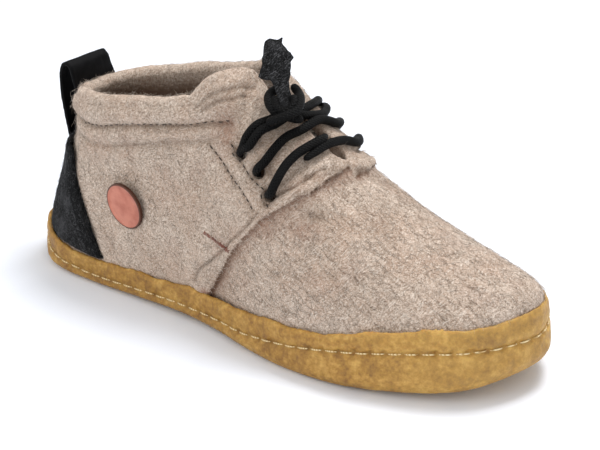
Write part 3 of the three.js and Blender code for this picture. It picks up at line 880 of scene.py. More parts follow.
@dataclass(frozen=True)
class TwistedThread:
    """Waxed two-ply sewing thread: a plain colour with the diagonal shadow of its twist."""

    name: str
    colour: str
    shadow: str
    ply: float = 0.9  # mm

    def make(self) -> bpy.types.Material:
        """Builds the material.

        Returns:
            The thread.
        """
        material, tree, shader = fresh(self.name)
        place = add_node(tree, "ShaderNodeTexCoord").outputs["Object"]
        leant = add_node(tree, "ShaderNodeMapping", {"Vector": place, "Rotation": (0.5, 0.4, 0.7)}).outputs[0]
        plies = {"Vector": leant, "Scale": 0.32 / (self.ply * MM)}
        twist = add_node(tree, "ShaderNodeTexWave", plies).outputs["Fac"]
        stops = [(0.1, self.shadow), (0.6, self.colour)]
        colour = add_node(tree, "ShaderNodeValToRGB", {0: twist}, ramp=stops).outputs[0]
        bump = add_node(tree, "ShaderNodeBump", {"Height": twist, "Strength": 0.5, "Distance": 0.15 * MM})
        set_sockets(tree, shader, {"Base Color": colour, "Normal": bump.outputs[0], "Roughness": 0.7})
        return material


BEIGE_FELT = WoolFelt(
    name="beige_melange_wool_felt",
    ground=("#93806f", "#bfaa99", "#dfcfbf"),
    dark="#655343",
    pale="#faefe2",
    blush="#b69680",
)
# The footbed's felt is drawn in darker colours, as painted shade deep in the shoe.
INNER_FELT = WoolFelt(
    name="footbed_wool_felt",
    ground=("#76685b", "#887969", "#9a8b7b"),
    dark="#4f443a",
    pale="#b9ab9b",
    blush="#806d5d",
)
CHARCOAL_FELT = WoolFelt(
    name="charcoal_wool_felt",
    ground=("#0e0e0f", "#181818", "#242423"),
    dark="#070707",
    pale="#808083",
    blush="#161616",
    fibre=0.4,
    strand=3.2,
    dark_share=0.5,
    pale_share=0.36,
    sheen=0.02,
)


# The form that the felt is pulled over


Values = float | np.ndarray


@dataclass(frozen=True)
class Section:
    """One section of the last, as in the shoe's source.

    outer and inner are the sole's edge on the two sides, (along, across) as shares of the length and
    half the ball width. top is where the section ends above: (along, centre, half width, height). channel
    is the height of the sole's stitches as a share of its side, and lean the rim's lean inwards in mm.
    """

    at: str
    outer: tuple[float, float]
    inner: tuple[float, float]
    top: tuple[float, float, float, float]
    belly: float
    low: float
    roll: float
    drop: float
    lift: float
    rim: float
    channel: float
    lean: float
    inner_roll: float | None = None

    def row_roll(self, side: Side) -> float:
        """The upper handle's reach on one side."""
        return self.roll if side is Side.OUTER or self.inner_roll is None else self.inner_roll


SECTIONS = (
    Section("heel back", (0, 0), (0, 0), (0.088, 0, 0, 0.895),
            -0.02, 0.34, 0, 0.35, 4, 22, 0.5, 0),
    Section("heel corner", (0.024, -0.43), (0.026, 0.42), (0.101, 0, 0.25, 0.905),
            -0.03, 0.32, 0, 0.35, 2.2, 21.5, 0.48, 0),
    Section("heel side", (0.083, -0.69), (0.081, 0.665), (0.14, 0, 0.47, 0.925),
            -0.02, 0.3, 0, 0.35, 0, 16.5, 0.42, 0),
    Section("heel front", (0.178, -0.75), (0.17, 0.735), (0.2, 0, 0.585, 0.955),
            0.02, 0.3, 0, 0.35, 0, 13.5, 0.37, 0),
    Section("waist back", (0.296, -0.76), (0.281, 0.74), (0.268, 0, 0.61, 1),
            0.04, 0.32, 0, 0.35, 0.8, 15, 0.36, 0),
    Section("waist", (0.4, -0.78), (0.385, 0.74), (0.342, 0, 0.59, 1.04),
            0.04, 0.34, 0.05, 0.34, 1.5, 16.5, 0.37, 0),
    Section("waist front", (0.485, -0.84), (0.474, 0.79), (0.403, 0, 0.53, 1.085),
            0.04, 0.36, 0.12, 0.32, 1, 17.5, 0.4, 0),
    Section("ear", (0.552, -0.925), (0.541, 0.88), (0.455, 0, 0.36, 1.16),
            0.04, 0.38, 0.25, 0.22, 0.4, 19.5, 0.43, 0),
    Section("throat", (0.61, -0.98), (0.607, 0.945), (0.496, 0, 0, 1.18),
            0.04, 0.42, 0.5, 0.06, 0, 21.5, 0.5, 0, 0.4),
    Section("instep", (0.66, -1), (0.66, 0.98), (0.568, 0, 0, 1.01),
            0.04, 0.45, 0.55, 0, 0, 22, 0.59, 0, 0.47),
    Section("slit end", (0.711, -1), (0.715, 0.995), (0.65, 0.02, 0, 0.84),
            0.04, 0.5, 0.56, 0, 0.3, 24, 0.65, 0.5),
    Section("vamp back", (0.77, -0.965), (0.778, 0.97), (0.728, 0.05, 0, 0.7),
            0.04, 0.56, 0.58, 0, 1.2, 27, 0.66, 1.4),
    Section("vamp", (0.833, -0.87), (0.848, 0.915), (0.798, 0.08, 0, 0.61),
            0.04, 0.6, 0.6, 0, 2.6, 30.5, 0.65, 2.8),
    Section("toe back", (0.893, -0.735), (0.907, 0.77), (0.858, 0.1, 0, 0.552),
            0.04, 0.68, 0.64, 0, 4.1, 33, 0.65, 3),
    Section("toe side", (0.941, -0.555), (0.953, 0.6), (0.906, 0.12, 0, 0.52),
            0.04, 0.78, 0.7, 0, 5.9, 34, 0.64, 1.7),
    Section("toe corner", (0.978, -0.28), (0.986, 0.37), (0.935, 0.13, 0, 0.512),
            0.04, 0.84, 0.74, 0, 8.6, 36, 0.58, 0.9),
    Section("toe", (1, 0.08), (1, 0.08), (0.945, 0.13, 0, 0.505),
            0.04, 0.86, 0.75, 0, 10.2, 37, 0.53, 0.9),
)


class Last:
    """The foot-shaped form that the felt is pulled over, with the same curves as the shoe's source."""

    length, half, collar = 270.0, 49.0, 95.0
    plate, crepe_wall, step, fit = 7.0, 4.0, 2.5, 0.3
    felt, pad = 4.5, 3.2

    def __init__(self) -> None:
        """Turns the table into closed columns: down the outer side and back along the inner one."""
        self.toe = len(SECTIONS) - 1
        self.throat = next(i for i, row in enumerate(SECTIONS) if row.at == "throat")
        rows = [(row, row.outer, Side.OUTER) for row in SECTIONS]
        rows += [(row, row.inner, Side.INNER) for row in reversed(SECTIONS[1:-1])]
        self.count = len(rows)
        self.ring = {
            "foot_x": np.array([foot[0] * self.length for _, foot, _ in rows]),
            "foot_y": np.array([foot[1] * self.half for _, foot, _ in rows]),
            "top_x": np.array([row.top[0] * self.length for row, _, _ in rows]),
            "centre": np.array([row.top[1] * self.half for row, _, _ in rows]),
            "reach": np.array([side.value * row.top[2] * self.half for row, _, side in rows]),
            "top_z": np.array([row.top[3] * self.collar for row, _, _ in rows]),
            **{
                name: np.array([getattr(row, name) for row, _, _ in rows], float)
                for name in ("belly", "low", "drop", "lift", "rim", "channel", "lean")
            },
            "roll": np.array([row.row_roll(side) for row, _, side in rows], float),
        }

    def column(self, name: str, u: np.ndarray) -> np.ndarray:
        """Reads one column of the table at places round the ring.

        Args:
            name: the column.
            u: the places.

        Returns:
            Its values there, on a Catmull-Rom curve.
        """
        values, start = self.ring[name], np.floor(u).astype(int)
        t = u - start
        a, b, c, d = (values[(start + k) % self.count] for k in (-1, 0, 1, 2))
        square, cube = 2 * a - 5 * b + 4 * c - d, 3 * b - a - 3 * c + d
        return 0.5 * (2 * b + (c - a) * t + square * t**2 + cube * t**3)

    def lift(self, u: np.ndarray) -> np.ndarray:
        """The sole's underside over the floor."""
        return np.maximum(self.column("lift", u), 0)

    def row_of(self, u: np.ndarray) -> np.ndarray:
        """The table's row at places round the ring."""
        v = np.mod(u, self.count)
        return np.where(v <= self.toe, v, self.count - v)

    def edge(self, u: np.ndarray, inset: np.ndarray, z: np.ndarray) -> np.ndarray:
        """Finds points of the sole's edge, moved inwards.

        Args:
            u: places round the ring.
            inset: how far inwards, in mm.
            z: their heights.

        Returns:
            The points.
        """
        dx = self.column("foot_x", u + 0.01) - self.column("foot_x", u - 0.01)
        dy = self.column("foot_y", u + 0.01) - self.column("foot_y", u - 0.01)
        run = np.hypot(dx, dy)
        x = self.column("foot_x", u) - self.length / 2 - dy / run * inset
        y = self.column("foot_y", u) + dx / run * inset
        return np.stack([x, y, z + 0 * x], -1)

    def vamp_share(self, u: np.ndarray) -> np.ndarray:
        """0 where the quarters cover the foot, and 1 ahead of them."""
        return smoothstep(self.row_of(u), self.throat - 2.2, self.throat - 0.6)

    def ridge_slope(self, u: np.ndarray) -> np.ndarray:
        """Finds the slope of the ridge line over the foot.

        Args:
            u: places round the ring.

        Returns:
            Rise over run, and 0 behind the throat.
        """
        row = self.row_of(u)
        ahead, behind = np.minimum(row + 0.25, self.toe), np.maximum(row - 0.25, self.throat)
        run = self.column("top_x", ahead) - self.column("top_x", behind)
        rise = self.column("top_z", ahead) - self.column("top_z", behind)
        return np.where(row < self.throat, 0, rise / np.where(np.abs(run) < 1e-6, 1, run))

    def skin(self, u: np.ndarray, t: np.ndarray) -> np.ndarray:
        """Finds points of the felt's outer face.

        Args:
            u: places round the ring.
            t: levels from the foot, 0, to the top, 1.

        Returns:
            The points.
        """
        u, t = np.broadcast_arrays(np.asarray(u, float), np.asarray(t, float))
        inset = self.crepe_wall + self.fit - self.step * self.vamp_share(u)
        foot = self.edge(u, inset, self.lift(u) + self.plate + self.fit)
        reach = np.where(self.row_of(u) >= self.throat, 0, self.column("reach", u))
        top_x, top_y = self.column("top_x", u) - self.length / 2, self.column("centre", u) + reach
        top = np.stack([top_x, top_y, self.column("top_z", u)], -1)
        rise = top[..., 2] - foot[..., 2]
        outward = self.edge(u, -1.0, 0.0) - self.edge(u, 0.0, 0.0)
        low = foot + outward * (self.column("belly", u) * rise)[..., None]
        low[..., 2] += self.column("low", u) * rise
        roll = self.column("roll", u)
        span = foot - top
        span[..., 2] = 0
        high = top + span * roll[..., None]
        high[..., 2] += span[..., 0] * roll * self.ridge_slope(u) - self.column("drop", u) * rise
        s = t[..., None]
        return (1 - s) ** 3 * foot + 3 * (1 - s) ** 2 * s * low + 3 * (1 - s) * s**2 * high + s**3 * top

    def place(self, u: Values, t: Values, lift: Values = 0.0) -> tuple[np.ndarray, np.ndarray]:
        """Finds points lifted off the skin.

        Args:
            u: places round the ring.
            t: levels.
            lift: how far off it, in mm.

        Returns:
            The points, and the skin's normals there.
        """
        u, t = np.asarray(u, float), np.asarray(t, float)
        around = self.skin(u + 0.02, t) - self.skin(u - 0.02, t)
        up = self.skin(u, np.minimum(t + 0.02, 1)) - self.skin(u, t - 0.02)
        normal = np.cross(around, up)
        normal /= np.linalg.norm(normal, axis=-1)[..., None]
        return self.skin(u, t) + normal * np.asarray(lift)[..., None], normal

    def on_skin(
        self, section: Values, t: Values, side: Side, lift: Values = 0.0
    ) -> tuple[np.ndarray, np.ndarray]:
        """Finds points on one side of the foot.

        Args:
            section: rows of the table.
            t: levels.
            side: which side.
            lift: how far off the skin, in mm.

        Returns:
            The points, and the skin's normals there.
        """
        section = np.asarray(section, float)
        return self.place(section if side is Side.OUTER else self.count - section, t, lift)

    def line(
        self, stops: Sequence[tuple[float, float]], side: Side, lift: float, step: float
    ) -> np.ndarray:
        """Draws a smooth line over the skin.

        Args:
            stops: the sections and levels that it goes through.
            side: the side of the foot.
            lift: how far off the skin, in mm.
            step: spacing of its points, in mm.

        Returns:
            The points.
        """
        table = smooth_route([(s, t, 0) for s, t in stops], 0.02)
        points, _ = self.on_skin(table[:, 0], table[:, 1], side, np.full(len(table), lift))
        return even(points, step)

    def samples(self) -> tuple[np.ndarray, np.ndarray, np.ndarray]:
        """Spreads points over the whole skin.

        Returns:
            The points, their sections (negative on the outer side) and their levels.
        """
        u, t = np.meshgrid(np.arange(0, self.count, 0.08), np.linspace(0, 1, 50))
        u, t = u.ravel(), t.ravel()
        side = np.where(np.mod(u, self.count) <= self.toe, -1, 1)
        return self.skin(u, t), self.row_of(u) * side, t


# The upper


@dataclass(frozen=True)
class Seam:
    """A row of stitches over the felt, by section and level, and how it pulls the felt in, in mm."""

    name: str
    stops: tuple[tuple[float, float], ...]
    depth: float
    width: float = 1.5
    pitch: float = 3.6
    dash: float = 2.6
    shown: bool = True  # its thread isn't buried in the nap
    shade: float = 0.75


@dataclass(frozen=True)
class Fold:
    """A soft trough or ridge in the felt: depth is negative for a ridge."""

    name: str
    stops: tuple[tuple[float, float], ...]
    depth: float
    width: float
    side: Side = Side.OUTER
    shade: float = 0.25


SEAMS = (
    Seam(
        "collar_upper",
        ((1.1, 0.9), (1.6, 0.895), (2.75, 0.865), (4.45, 0.88), (5.65, 0.88), (6.4, 0.85), (7.05, 0.8)),
        depth=1.7,
        width=2.0,
    ),
    Seam(
        "collar_lower",
        ((1.5, 0.8), (3.25, 0.76), (4.4, 0.78), (5.6, 0.8), (6.7, 0.765)),
        depth=1.2,
        width=1.8,
        shown=False,
        shade=0.45,
    ),
    Seam("facing_back", ((6.4, 0.76), (6.95, 0.6), (7.6, 0.44)), 0.8, 1.3),
    Seam("facing_front", ((7.0, 0.72), (7.5, 0.56), (8.1, 0.48)), 0.7, 1.3),
    Seam(
        "quarter_front",
        ((5.3, 0.12), (5.45, 0.18), (6.6, 0.34), (7.65, 0.42), (8.1, 0.5), (9.1, 0.68), (9.6, 0.84)),
        depth=1.5,
        width=1.2,
        shown=False,
        shade=0.8,
    ),
    Seam("ear_outer", ((6.2, 0.95), (6.7, 0.945), (7.2, 0.93), (7.6, 0.9)), 0.8, 1.2, shown=False),
    Seam("ear_lower", ((6.4, 0.915), (6.9, 0.905), (7.4, 0.88)), 0.6, 1.2, shown=False),
)

FOLDS = (
    Fold("under corner", ((9.3, 0.58), (9.7, 0.62), (10.2, 0.68), (10.9, 0.75)), 1.6, 3.2, shade=0.4),
    Fold("facing wrinkle", ((9.0, 0.61), (9.5, 0.66), (9.95, 0.68)), 0.9, 1.6, shade=0.4),
    Fold("behind facing corner", ((8.6, 0.44), (9.0, 0.5), (9.5, 0.58)), 1.2, 3.0),
    Fold("olive dip", ((10.0, 0.8), (10.6, 0.82), (11.2, 0.8)), 0.8, 5.0, shade=0.15),
    Fold("far facing front", ((10.1, 0.9), (10.3, 0.97), (10.25, 0.99)), 2.0, 2.5, shade=0.6),
    Fold("far facing under", ((10.2, 0.97), (10.3, 0.86), (10.2, 0.74)), 2.0, 3.0, Side.INNER, 0.5),
    Fold("vamp soft crease", ((10.6, 0.45), (11.3, 0.55), (12.0, 0.62)), 0.5, 3.5, shade=0.1),
    Fold("vamp crease", ((9.6, 0.36), (10.4, 0.42), (11.2, 0.44)), 0.45, 3.0, shade=0.1),
    Fold("corner wrinkle", ((9.2, 0.72), (9.55, 0.78), (9.8, 0.88)), 1.0, 1.8, shade=0.35),
    Fold("corner wrinkle back", ((8.8, 0.66), (9.1, 0.76), (9.3, 0.86)), 0.9, 1.8, shade=0.3),
    Fold("facing dent", ((8.0, 0.62), (8.35, 0.6), (8.6, 0.62)), 0.9, 2.4, shade=0.4),
    Fold("quarter swell", ((5.6, 0.5), (6.2, 0.55), (6.6, 0.5)), -0.6, 7.0, shade=0.0),
    Fold("ankle dip", ((3.0, 0.6), (4.2, 0.62), (5.2, 0.6)), 0.5, 7.0, shade=0.0),
)

# The quarters' front edge in the side view, from the sole up, in mm.
QUARTER_FOOT = ((-14, 0), (-11.1, 17), (5.9, 44), (19.4, 60.5))
QUARTER_EDGES = {
    Side.OUTER: (*QUARTER_FOOT, (32.9, 71.4), (37.5, 74), (41, 79), (41, 140)),
    Side.INNER: (*QUARTER_FOOT, (35.1, 70.3), (46.4, 76), (50.5, 82.7), (50.5, 140)),
}


# How far the collar's rim stands over the form on the outer side: section and mm.
RIM_RISE = (
    (2.5, 0),
    (4.0, -1.8),
    (5.0, -1.9),
    (5.7, -2.2),
    (6.0, -3.0),
    (6.25, 0.0),
    (6.5, 2.2),
    (6.85, 3.1),
    (7.4, 2.3),
    (7.9, 1.2),
    (8.2, 0),
)
# Places (section and level) that lie in shadow, and where reddish wool shows: reach in mm and amount.
SHADE = (
    ((9.35, 0.98), 3.2, 0.9),
    ((8.9, 0.99), 5.0, 0.5),
    ((5.7, 0.06), 3.0, 0.6),
    ((9.5, 0.6), 6.0, 0.25),
)
RUST = (
    ((6.9, 0.78), 7.0, 0.28),
    ((5.6, 0.08), 3.0, 0.8),
    ((6.3, 0.34), 4.0, 0.3),
    ((9.1, 0.5), 7.0, 0.25),
    ((8.0, 0.4), 5.0, 0.2),
)
HOLES = ((7.25, 0.66), (7.7, 0.56), (8.1, 0.52))
TACK_LINE = ((5.85, 0.385), (6.3, 0.345), (6.66, 0.315))
CORE = 38.0  # mm, height of the foot's middle


@dataclass(frozen=True)
class Nap:
    """Loose fibres on a felt piece: how many, and their shortest and longest sizes in mm."""

    name: str
    count: int
    seed: int
    length: tuple[float, float]
    rise: tuple[float, float]  # how far their ends stand off
    thick: float


PALE_NAP = Nap("pale_fibres", 12000, 11, (2.5, 6), (0.03, 0.5), 0.09)
DARK_NAP = Nap("dark_fibres", 9000, 23, (2, 5), (0.0, 0.2), 0.1)
FUZZ = Nap("short_fuzz", 12000, 37, (1.0, 2.6), (0.3, 1.0), 0.06)
COUNTER_NAP = Nap("counter_fibres", 2600, 41, (1.2, 3.4), (0.05, 0.6), 0.055)


@dataclass
class Upper:
    """The felt upper, its sewing and the loose fibres that stand off it."""

    last: Last
    voxel: float = 1.15
    edge_keep: tuple[float, float] = (1.5, 7.0)
    roll_puff: float = 2.2  # mm, as all the swellings here
    inner_puff: float = 1.2
    collar_puff: float = 0.7
    band_puff: float = 0.7
    foot_puff: float = 0.6
    far_ear: float = 3.4
    roll_end: float = 7.4  # section
    collar_end: float = 6.8  # section
    band: float = 8.5  # mm, width of the swell behind the quarters' edge
    straight: float = 90.0  # mm, half the length over which the sides run straight
    stitch_thick: float = 0.6
    tack_length: float = 3.0

    def build(self, frame: dict) -> bpy.types.Object:
        """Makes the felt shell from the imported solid.


        Returns:
            The shell.
        """
        shell = soft_copy(frame, "upper", "felt_upper", self.voxel)
        smooth_by(shell, 3)
        points = points_of(shell)
        _, t, gap = self.locate(points)
        free = smoothstep(self.to_quarter_edge(points), *self.edge_keep) * smoothstep(1 - t, 0.02, 0.12)
        free *= np.where(np.abs(gap) < 1.2, 1.0, 0.6)
        for line in self.holes():
            chosen, apart = near(points, line, 7)
            free[chosen] *= smoothstep(apart, 3.5, 7)
        smooth_by(shell, 36, free)
        self.work(shell)
        return shell

    def locate(self, points: np.ndarray) -> tuple[np.ndarray, np.ndarray, np.ndarray]:
        """Finds where points lie on the skin.

        Args:
            points: in mm.

        Returns:
            The section (negative on the outer side), the level and the distance off the skin.
        """
        cloud, rows, levels = self.last.samples()
        index, apart = nearest(points, cloud)
        return rows[index], levels[index], apart

    def to_quarter_edge(self, points: np.ndarray) -> np.ndarray:
        """Measures in the side view how far points lie from the quarters' front edge.

        Args:
            points: in mm.

        Returns:
            The distances in mm.
        """
        best = np.full(len(points), 1e9)
        flat = points[:, [0, 2]]
        for side, edge in QUARTER_EDGES.items():
            own = points[:, 1] * side.value > -9
            for a, b in zip(edge, edge[1:]):
                start, run = np.array(a, float), np.array(b, float) - np.array(a, float)
                t = np.clip((flat - start) @ run / (run @ run), 0, 1)
                apart = np.linalg.norm(flat - start - t[:, None] * run, axis=1)
                best = np.where(own, np.minimum(best, apart), best)
        return best

    def ahead(self, points: np.ndarray) -> np.ndarray:
        """Measures how far points lie ahead of the quarters' front edge at their height.

        Args:
            points: in mm.

        Returns:
            The distances in mm, negative behind it.
        """
        fronts = {
            side: np.interp(points[:, 2], [z for _, z in edge[:-1]], [x for x, _ in edge[:-1]])
            for side, edge in QUARTER_EDGES.items()
        }
        return points[:, 0] - np.where(points[:, 1] < 0, fronts[Side.OUTER], fronts[Side.INNER])

    def holes(self) -> list[np.ndarray]:
        """Finds the middle of each lace hole.

        Returns:
            A short line through the felt for each, in mm.
        """
        lines = []
        for section, t in HOLES:
            for side in Side:
                point, normal = self.last.on_skin(section, t, side)
                lines.append(np.array([point + normal * k for k in (-5, -2.5, 0, 2)]))
        return lines

    def swell(
        self,
        points: np.ndarray,
        section: np.ndarray,
        level: tuple[np.ndarray, np.ndarray],
        lead: np.ndarray,
        outer: np.ndarray,
    ) -> np.ndarray:
        """Works out how far the padding swells the felt.

        Args:
            points: the felt's points, in mm.
            section: their sections.
            level: their levels, and the levels of the seam under the roll.
            lead: how far they lie ahead of the quarters' edge.
            outer: true on the outer face.

        Returns:
            The swelling in mm.
        """
        t, roll = level
        arch = np.sin(math.pi * np.clip((t - roll) / (1 - roll), 0, 1))
        move = np.where(outer & (section < self.roll_end), self.roll_puff * arch**0.8, 0)
        move += np.where(~outer & (section < self.roll_end), self.inner_puff * arch, 0)
        between = np.sin(math.pi * np.clip((roll - t) / 0.1, 0, 1))
        move += np.where(outer & (section < self.collar_end), self.collar_puff * between, 0)
        rim = np.interp(section, range(len(SECTIONS)), [row.rim for row in SECTIONS])
        puff = self.foot_puff * (1 + 2.2 * smoothstep(section, 12, 15))
        move += np.where(outer, puff * bell(points[:, 2] - rim, 4), 0)
        band = np.sin(math.pi * np.clip((lead + self.band) / self.band, 0, 1))
        return move + np.where(outer & (lead < 1), self.band_puff * band, 0)

    def work(self, shell: bpy.types.Object) -> None:
        """Sews and folds the felt, and paints shade into its colour.

        Args:
            shell: the felt, which is moved and gets attributes for painted shade, reddish tints and where its
                locks are combed.
        """
        points, normals = points_of(shell), normals_of(shell)
        row, t, gap = self.locate(points)
        across = points - np.stack([points[:, 0], 0 * t, np.full(len(t), CORE)], 1)
        beyond = points[:, 0] - self.straight * np.sign(points[:, 0])
        across[:, 0] = np.where(np.abs(points[:, 0]) > self.straight, beyond, 0)
        outside = np.where((normals * across).sum(1) > 0, 1.0, -1.0)
        outer, section = outside > 0, np.abs(row)
        roll = np.interp(section, *zip(*SEAMS[0].stops))
        lead = self.ahead(points)
        move = self.swell(points, section, (t, roll), lead, outer)
        tone, rust_and_shade = np.zeros(len(points)), np.zeros(len(points))

        # Painted shadow on the step down to the vamp, darkest low down, with a reddish tint along it.
        under = outer & (lead > 0) & (gap > 1.4)
        low_down = 0.6 + 0.5 * (1 - smoothstep(points[under, 2], 25, 50))
        tone[under] -= low_down * (0.95 * bell(lead[under], 2.6) + 0.25 * bell(lead[under], 6.0))
        rust_and_shade[under] += 0.3 * bell(lead[under], 7.0)

        # Seams and folds pull the felt in, with painted shade in their troughs.
        for seam in SEAMS:
            for side in Side:
                line = self.last.line(seam.stops, side, 0, 0.6)
                chosen, apart = near(points, line, 3 * seam.width)
                move[chosen] -= seam.depth * bell(apart, seam.width)
                tone[chosen] -= seam.shade * bell(apart, 0.6 * seam.width) * outer[chosen]
        for fold in FOLDS:
            line = self.last.line(fold.stops, fold.side, 0, 0.8)
            chosen, apart = near(points, line, 3 * fold.width)
            move[chosen] -= fold.depth * bell(apart, fold.width)
            tone[chosen] -= fold.shade * bell(apart, fold.width) * outer[chosen]
        # Lace holes dimple the felt, with painted shade in each dimple.
        for line in self.holes():
            chosen, apart = near(points, line, 9)
            move[chosen] -= 0.9 * bell(apart, 4.5)
            tone[chosen] -= 0.5 * bell(apart, 4.2)

        # Milled felt is never quite even, and dyed fibres gather in drifts.
        move += 0.45 * ripple(points, 26, 1) + 0.22 * ripple(points, 9, 4) + 0.1 * ripple(points, 3.2, 9)
        tone += 0.1 * ripple(points, 14, 2)
        # Painted shade inside the shoe, below the collar's rim: darker and warmer.
        inside = np.where(outer, 0, 1 - smoothstep(t, roll - 0.1, roll + 0.12))
        tone -= 0.7 * inside
        rust_and_shade += 0.3 * inside + 0.12 * smoothstep(ripple(points, 12, 6), 0.2, 0.9)
        for spots, layer, sign in ((RUST, rust_and_shade, 1), (SHADE, tone, -1)):
            for (at_section, at_level), reach, amount in spots:
                spot, _ = self.last.on_skin(at_section, at_level, Side.OUTER)
                layer += sign * amount * bell(np.linalg.norm(points - spot, axis=1), reach)

        ear = bell(section - self.last.throat, 0.5) * smoothstep(t, 0.72, 0.88)
        move += np.where(row > 0, self.far_ear * ear, 0)
        points = points + normals * (outside * move)[:, None]
        rise = np.where(row < 0, np.interp(section, *zip(*RIM_RISE)), 0)
        points[:, 2] += rise * smoothstep(t, 0.86, 0.97)
        set_points(shell, points)
        # Painted deep shade inside the shoe, and in a thin line under the quarters' edge.
        depth = 0.95 * np.where(outer, 0, 1 - smoothstep(t, roll + 0.02, 1.0))
        depth[under] = 0.6 * low_down * bell(lead[under], 1.7)
        set_attribute(shell, "depth", np.clip(depth, 0, 1))
        set_attribute(shell, "tone", np.clip(tone, -1, 1))
        set_attribute(shell, "rust_and_shade", np.clip(rust_and_shade, 0, 0.8))
        set_attribute(shell, "comb", smoothstep(lead, -2, 3))

    def stitch(self, length: float, thick: float) -> bpy.types.Object:
        """Models one stitch, lying along X: a short thread whose ends dive into the felt.

        Args:
            length: in mm.
            thick: in mm.

        Returns:
            The stitch, with mesh units of mm.
        """
        turned = (0, math.pi / 2, 0)
        bpy.ops.mesh.primitive_uv_sphere_add(segments=8, ring_count=7, radius=0.5, rotation=turned)
        model = bpy.context.object
        bpy.ops.object.transform_apply(location=False, rotation=True, scale=False)
        for vertex in model.data.vertices:
            x, y, z = vertex.co
            vertex.co = (x * length, y * thick, z * thick - (2 * x) ** 2 * 0.55 * thick)
        return model

    def sew(self, material: bpy.types.Material, shell: bpy.types.Object) -> bpy.types.Object:
        """Lays the stitches in their troughs.

        Args:
            material: the thread.
            shell: the felt that they lie on.

        Returns:
            All stitches as one piece.
        """
        places = []
        for seam in (seam for seam in SEAMS if seam.shown):
            for side in Side:
                line = self.last.line(seam.stops, side, 0, seam.pitch)
                for a, b in zip(line, line[1:]):
                    middle = (a + b) / 2
                    hit, point, normal, _ = shell.closest_point_on_mesh(Vector(middle * MM))
                    if hit and abs(self.ahead(middle[None])[0]) > 0.1:
                        out = np.array(normal)
                        places.append(upright(np.array(point) / MM + 0.05 * out, b - a, out))
        piece = copies("felt_stitches", self.stitch(SEAMS[0].dash, self.stitch_thick), places)
        dress(piece, material, "felt")
        return piece

    def tack(self, material: bpy.types.Material, shell: bpy.types.Object) -> bpy.types.Object:
        """Lays the close zigzag that locks the seam's end at the quarter, on both sides.

        Args:
            material: the thread.
            shell: the felt that it lies on.

        Returns:
            Both tacks as one piece.
        """
        places = []
        for side in Side:
            line = self.last.line(TACK_LINE, side, 0, 0.5)
            for k, (a, b) in enumerate(zip(line, line[1:])):
                _, point, normal, _ = shell.closest_point_on_mesh(Vector((a + b) / 2 * MM))
                out = np.array(normal)
                across = np.cross(b - a, out) + (b - a) * (0.8 if k % 2 else -0.8)
                places.append(upright(np.array(point) / MM - 0.02 * out, across, out))
        piece = copies("bar_tacks", self.stitch(self.tack_length, self.stitch_thick), places)
        dress(piece, material, "felt")
        return piece

    def fibres(self, shell: bpy.types.Object, material: bpy.types.Material, nap: Nap) -> bpy.types.Object:
        """Strews loose wool fibres over a felt piece.

        Args:
            shell: the felt.
            material: the fibre.
            nap: what they are like.

        Returns:
            All fibres as one piece.
        """
        draw, count = np.random.default_rng(nap.seed), nap.count
        polygons = shell.data.polygons
        areas = np.empty(len(polygons), np.float32)
        polygons.foreach_get("area", areas)
        centres = np.empty(len(polygons) * 3, np.float32)
        polygons.foreach_get("center", centres)
        normals = np.empty(len(polygons) * 3, np.float32)
        polygons.foreach_get("normal", normals)
        centres, normals = centres.reshape(-1, 3) / MM, normals.reshape(-1, 3)
        towards = centres - np.stack([centres[:, 0], 0 * areas, np.full(len(areas), CORE)], 1)
        weight = areas * ((normals * towards).sum(1) > 0)
        chosen = draw.choice(len(polygons), count, p=weight / weight.sum())
        base, normal = centres[chosen].astype(float), normals[chosen].astype(float)
        heading = draw.normal(size=(count, 3)) + np.array([1.1, 0, -0.35])
        heading -= normal * (heading * normal).sum(1)[:, None]
        heading /= np.linalg.norm(heading, axis=1)[:, None]
        across = np.cross(normal, heading)
        size = draw.uniform(*nap.length, count)[:, None]
        curl = draw.normal(0, 0.28, count)[:, None]
        lift = draw.uniform(*nap.rise, count)[:, None]
        line = []
        for s in (0.0, 0.35, 0.7, 1.0):
            aside = across * curl * size * s * s
            up = normal * (0.12 + lift * math.sin(s * 2.4) * (0.4 + s))
            line.append(base + heading * size * s + aside + up)
        vertices, faces = [line[0]], []
        for p, width in zip(line[1:3], (1.0, 0.8)):
            for turn in (0.0, 2.1, 4.2):
                round_it = across * math.cos(turn) + normal * math.sin(turn)
                vertices.append(p + round_it * nap.thick / 2 * width)
        vertices.append(line[3])
        grid = np.stack(vertices, 1)
        faces += [(0, 2, 1), (0, 3, 2), (0, 1, 3), (7, 4, 5), (7, 5, 6), (7, 6, 4)]
        faces += [(i, j, j + 3, i + 3) for i, j in ((1, 2), (2, 3), (3, 1))]
        all_faces = [tuple(v + 8 * k for v in face) for k in range(count) for face in faces]
        piece = new_piece(nap.name, grid.reshape(-1, 3) * MM, all_faces)
        dress(piece, material, "felt")
        return piece


# The sole


